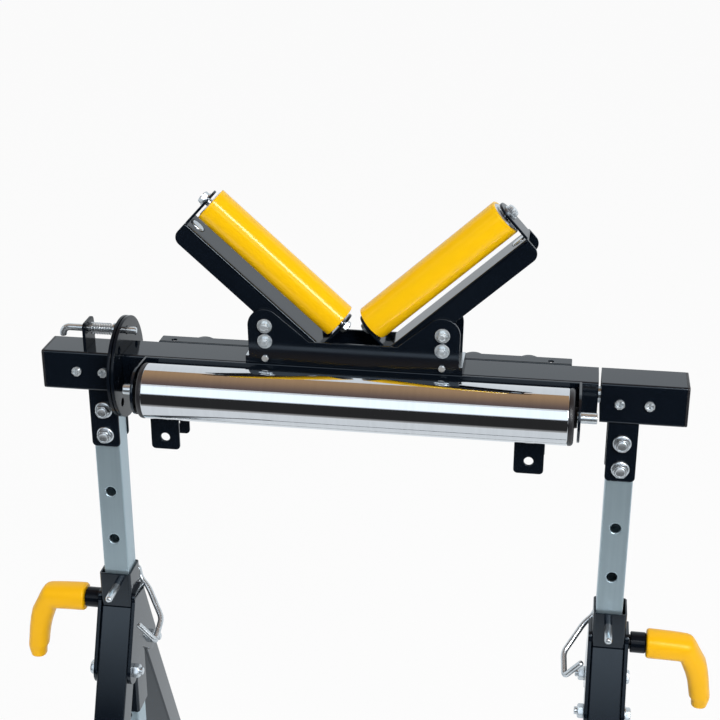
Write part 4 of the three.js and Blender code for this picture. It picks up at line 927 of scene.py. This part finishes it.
def whiteSeen(tree):
    # 1 for rays from the camera, a mirror or a glass, and the white that they see
    rays = addNode(tree, "LightPath")
    seen = addNode(tree, "Math", {"operation": "MAXIMUM"},
                   {0: rays.outputs["Is Camera Ray"], 1: rays.outputs["Is Glossy Ray"]})
    seen = addNode(tree, "Math", {"operation": "MAXIMUM"}, {0: seen, 1: rays.outputs["Is Transmission Ray"]})
    white = addNode(tree, "Mix", {"data_type": "RGBA", 6: (1, 1, 1, 1), 7: coolWhite},
                    {"Factor": rays.outputs["Is Glossy Ray"]})
    return seen.outputs[0], white.outputs[2]


def emptyMaterial(name):
    material = bpy.data.materials.new(name)
    material.use_nodes = True
    material.node_tree.nodes.clear()
    return material, material.node_tree


def floorFinish():
    # seen directly or in a mirror the floor is mostly plain white; for the light it is a pale matt surface
    material, tree = emptyMaterial("paleFloor")
    seen, white = whiteSeen(tree)
    share = addNode(tree, "Math", {"operation": "MULTIPLY", 1: floorWhite}, {0: seen})
    matt = addNode(tree, "BsdfDiffuse", {"Color": floorMatt})
    glow = addNode(tree, "Emission", {"Strength": 1.0}, {"Color": white})
    mix = addNode(tree, "MixShader", {}, {0: share, 1: matt, 2: glow})
    addNode(tree, "OutputMaterial", {}, {0: mix})
    return material


def cardFinish(name, axis, reach, first, last):
    # the card's glow runs from the first colour to the last along one axis, between the two reaches
    material, tree = emptyMaterial(name)
    place = addNode(tree, "SeparateXYZ", {}, {0: addNode(tree, "TexCoord").outputs["Object"]})
    span = {"interpolation_type": "SMOOTHSTEP", "From Min": reach[0], "From Max": reach[1]}
    share = addNode(tree, "MapRange", span, {"Value": place.outputs[axis]})
    shade = addNode(tree, "Mix", {"data_type": "RGBA", 6: (*first, 1), 7: (*last, 1)}, {"Factor": share})
    glow = addNode(tree, "Emission", {"Strength": 1.0}, {"Color": shade.outputs[2]})
    addNode(tree, "OutputMaterial", {}, {0: glow})
    return material


def reflectorCard(name, corners, axis, reach, first, last):
    # a studio card that only mirror-like surfaces see
    card = stagePlane(name, corners, cardFinish(name, axis, reach, first, last))
    card.visible_camera = card.visible_diffuse = card.visible_shadow = card.visible_transmission = False


def cardCorners(x0, x1, y0, y1, z0, z1):
    return [(x0, y0, z0), (x1, y0, z0), (x1, y1, z1), (x0, y1, z1)]


stagePlane("floor", cardCorners(-30, 30, -30, 30, 0, 0), floorFinish())
darkGrey = (0.03, 0.03, 0.031)
reflectorCard("darkFloorCard", cardCorners(-5, 5, -4.0, -0.9, 0.02, 0.02), "Y", (-1.3, -0.9), darkGrey,
              (0.5, 0.5, 0.5))
reflectorCard("frontCard", cardCorners(-4, 4.5, -4.0, -4.0, 0.02, 4.6), "Z", (1.3, 1.75), darkGrey,
              (1.45, 1.6, 1.75))
reflectorCard("darkSideCard", cardCorners(-7, -2.0, -3.96, -3.96, 0.02, 4.6), "Z", (0, 4.6),
              (0.012, 0.012, 0.014), (0.04, 0.04, 0.045))
reflectorCard("ceilingCard", cardCorners(-5, 5, -2.07, 1.17, 3.2, 3.2), "Y", (-2.07, 0.9),
              (0.15, 0.11, 0.105), (0.5, 0.32, 0.18))

world = bpy.data.worlds.new("studio")
scene.world = world
world.use_nodes = True
tree = world.node_tree
back = tree.nodes["Background"]
seen, white = whiteSeen(tree)
level = addNode(tree, "MapRange", {"To Min": ambient, "To Max": 1.0}, {"Value": seen})
tree.links.new(white, back.inputs["Color"])
tree.links.new(level.outputs[0], back.inputs["Strength"])


def softBox(name, place, target, size, energy, mirrored=False, roll=0.0):
    # area lamp aimed at the target and turned about its own axis by the roll in degrees
    lamp = bpy.data.objects.new(name, bpy.data.lights.new(name, "AREA"))
    scene.collection.objects.link(lamp)
    lamp.location = place
    aimed = (Vector(target) - Vector(place)).to_track_quat("-Z", "Y")
    lamp.rotation_euler = (aimed @ Quaternion((0, 0, 1), math.radians(roll))).to_euler()
    lamp.data.shape, lamp.data.energy = "RECTANGLE", energy
    lamp.data.size, lamp.data.size_y = size
    lamp.visible_glossy = mirrored


# the key is a strip along the left V roller, which gives that roller its straight narrow highlight
softBox("keyBox", (1.4, -2.2, 2.3), (0, 0, 0.75), (2.0, 0.6), 62, True, 129.0)
softBox("fillBox", (-2.2, -1.6, 1.9), (0, 0, 0.7), (1.4, 1.4), 12)
softBox("topBox", (0.2, 0.9, 3.0), (0, 0, 0.7), (2.2, 1.2), 14)
print("stage made")
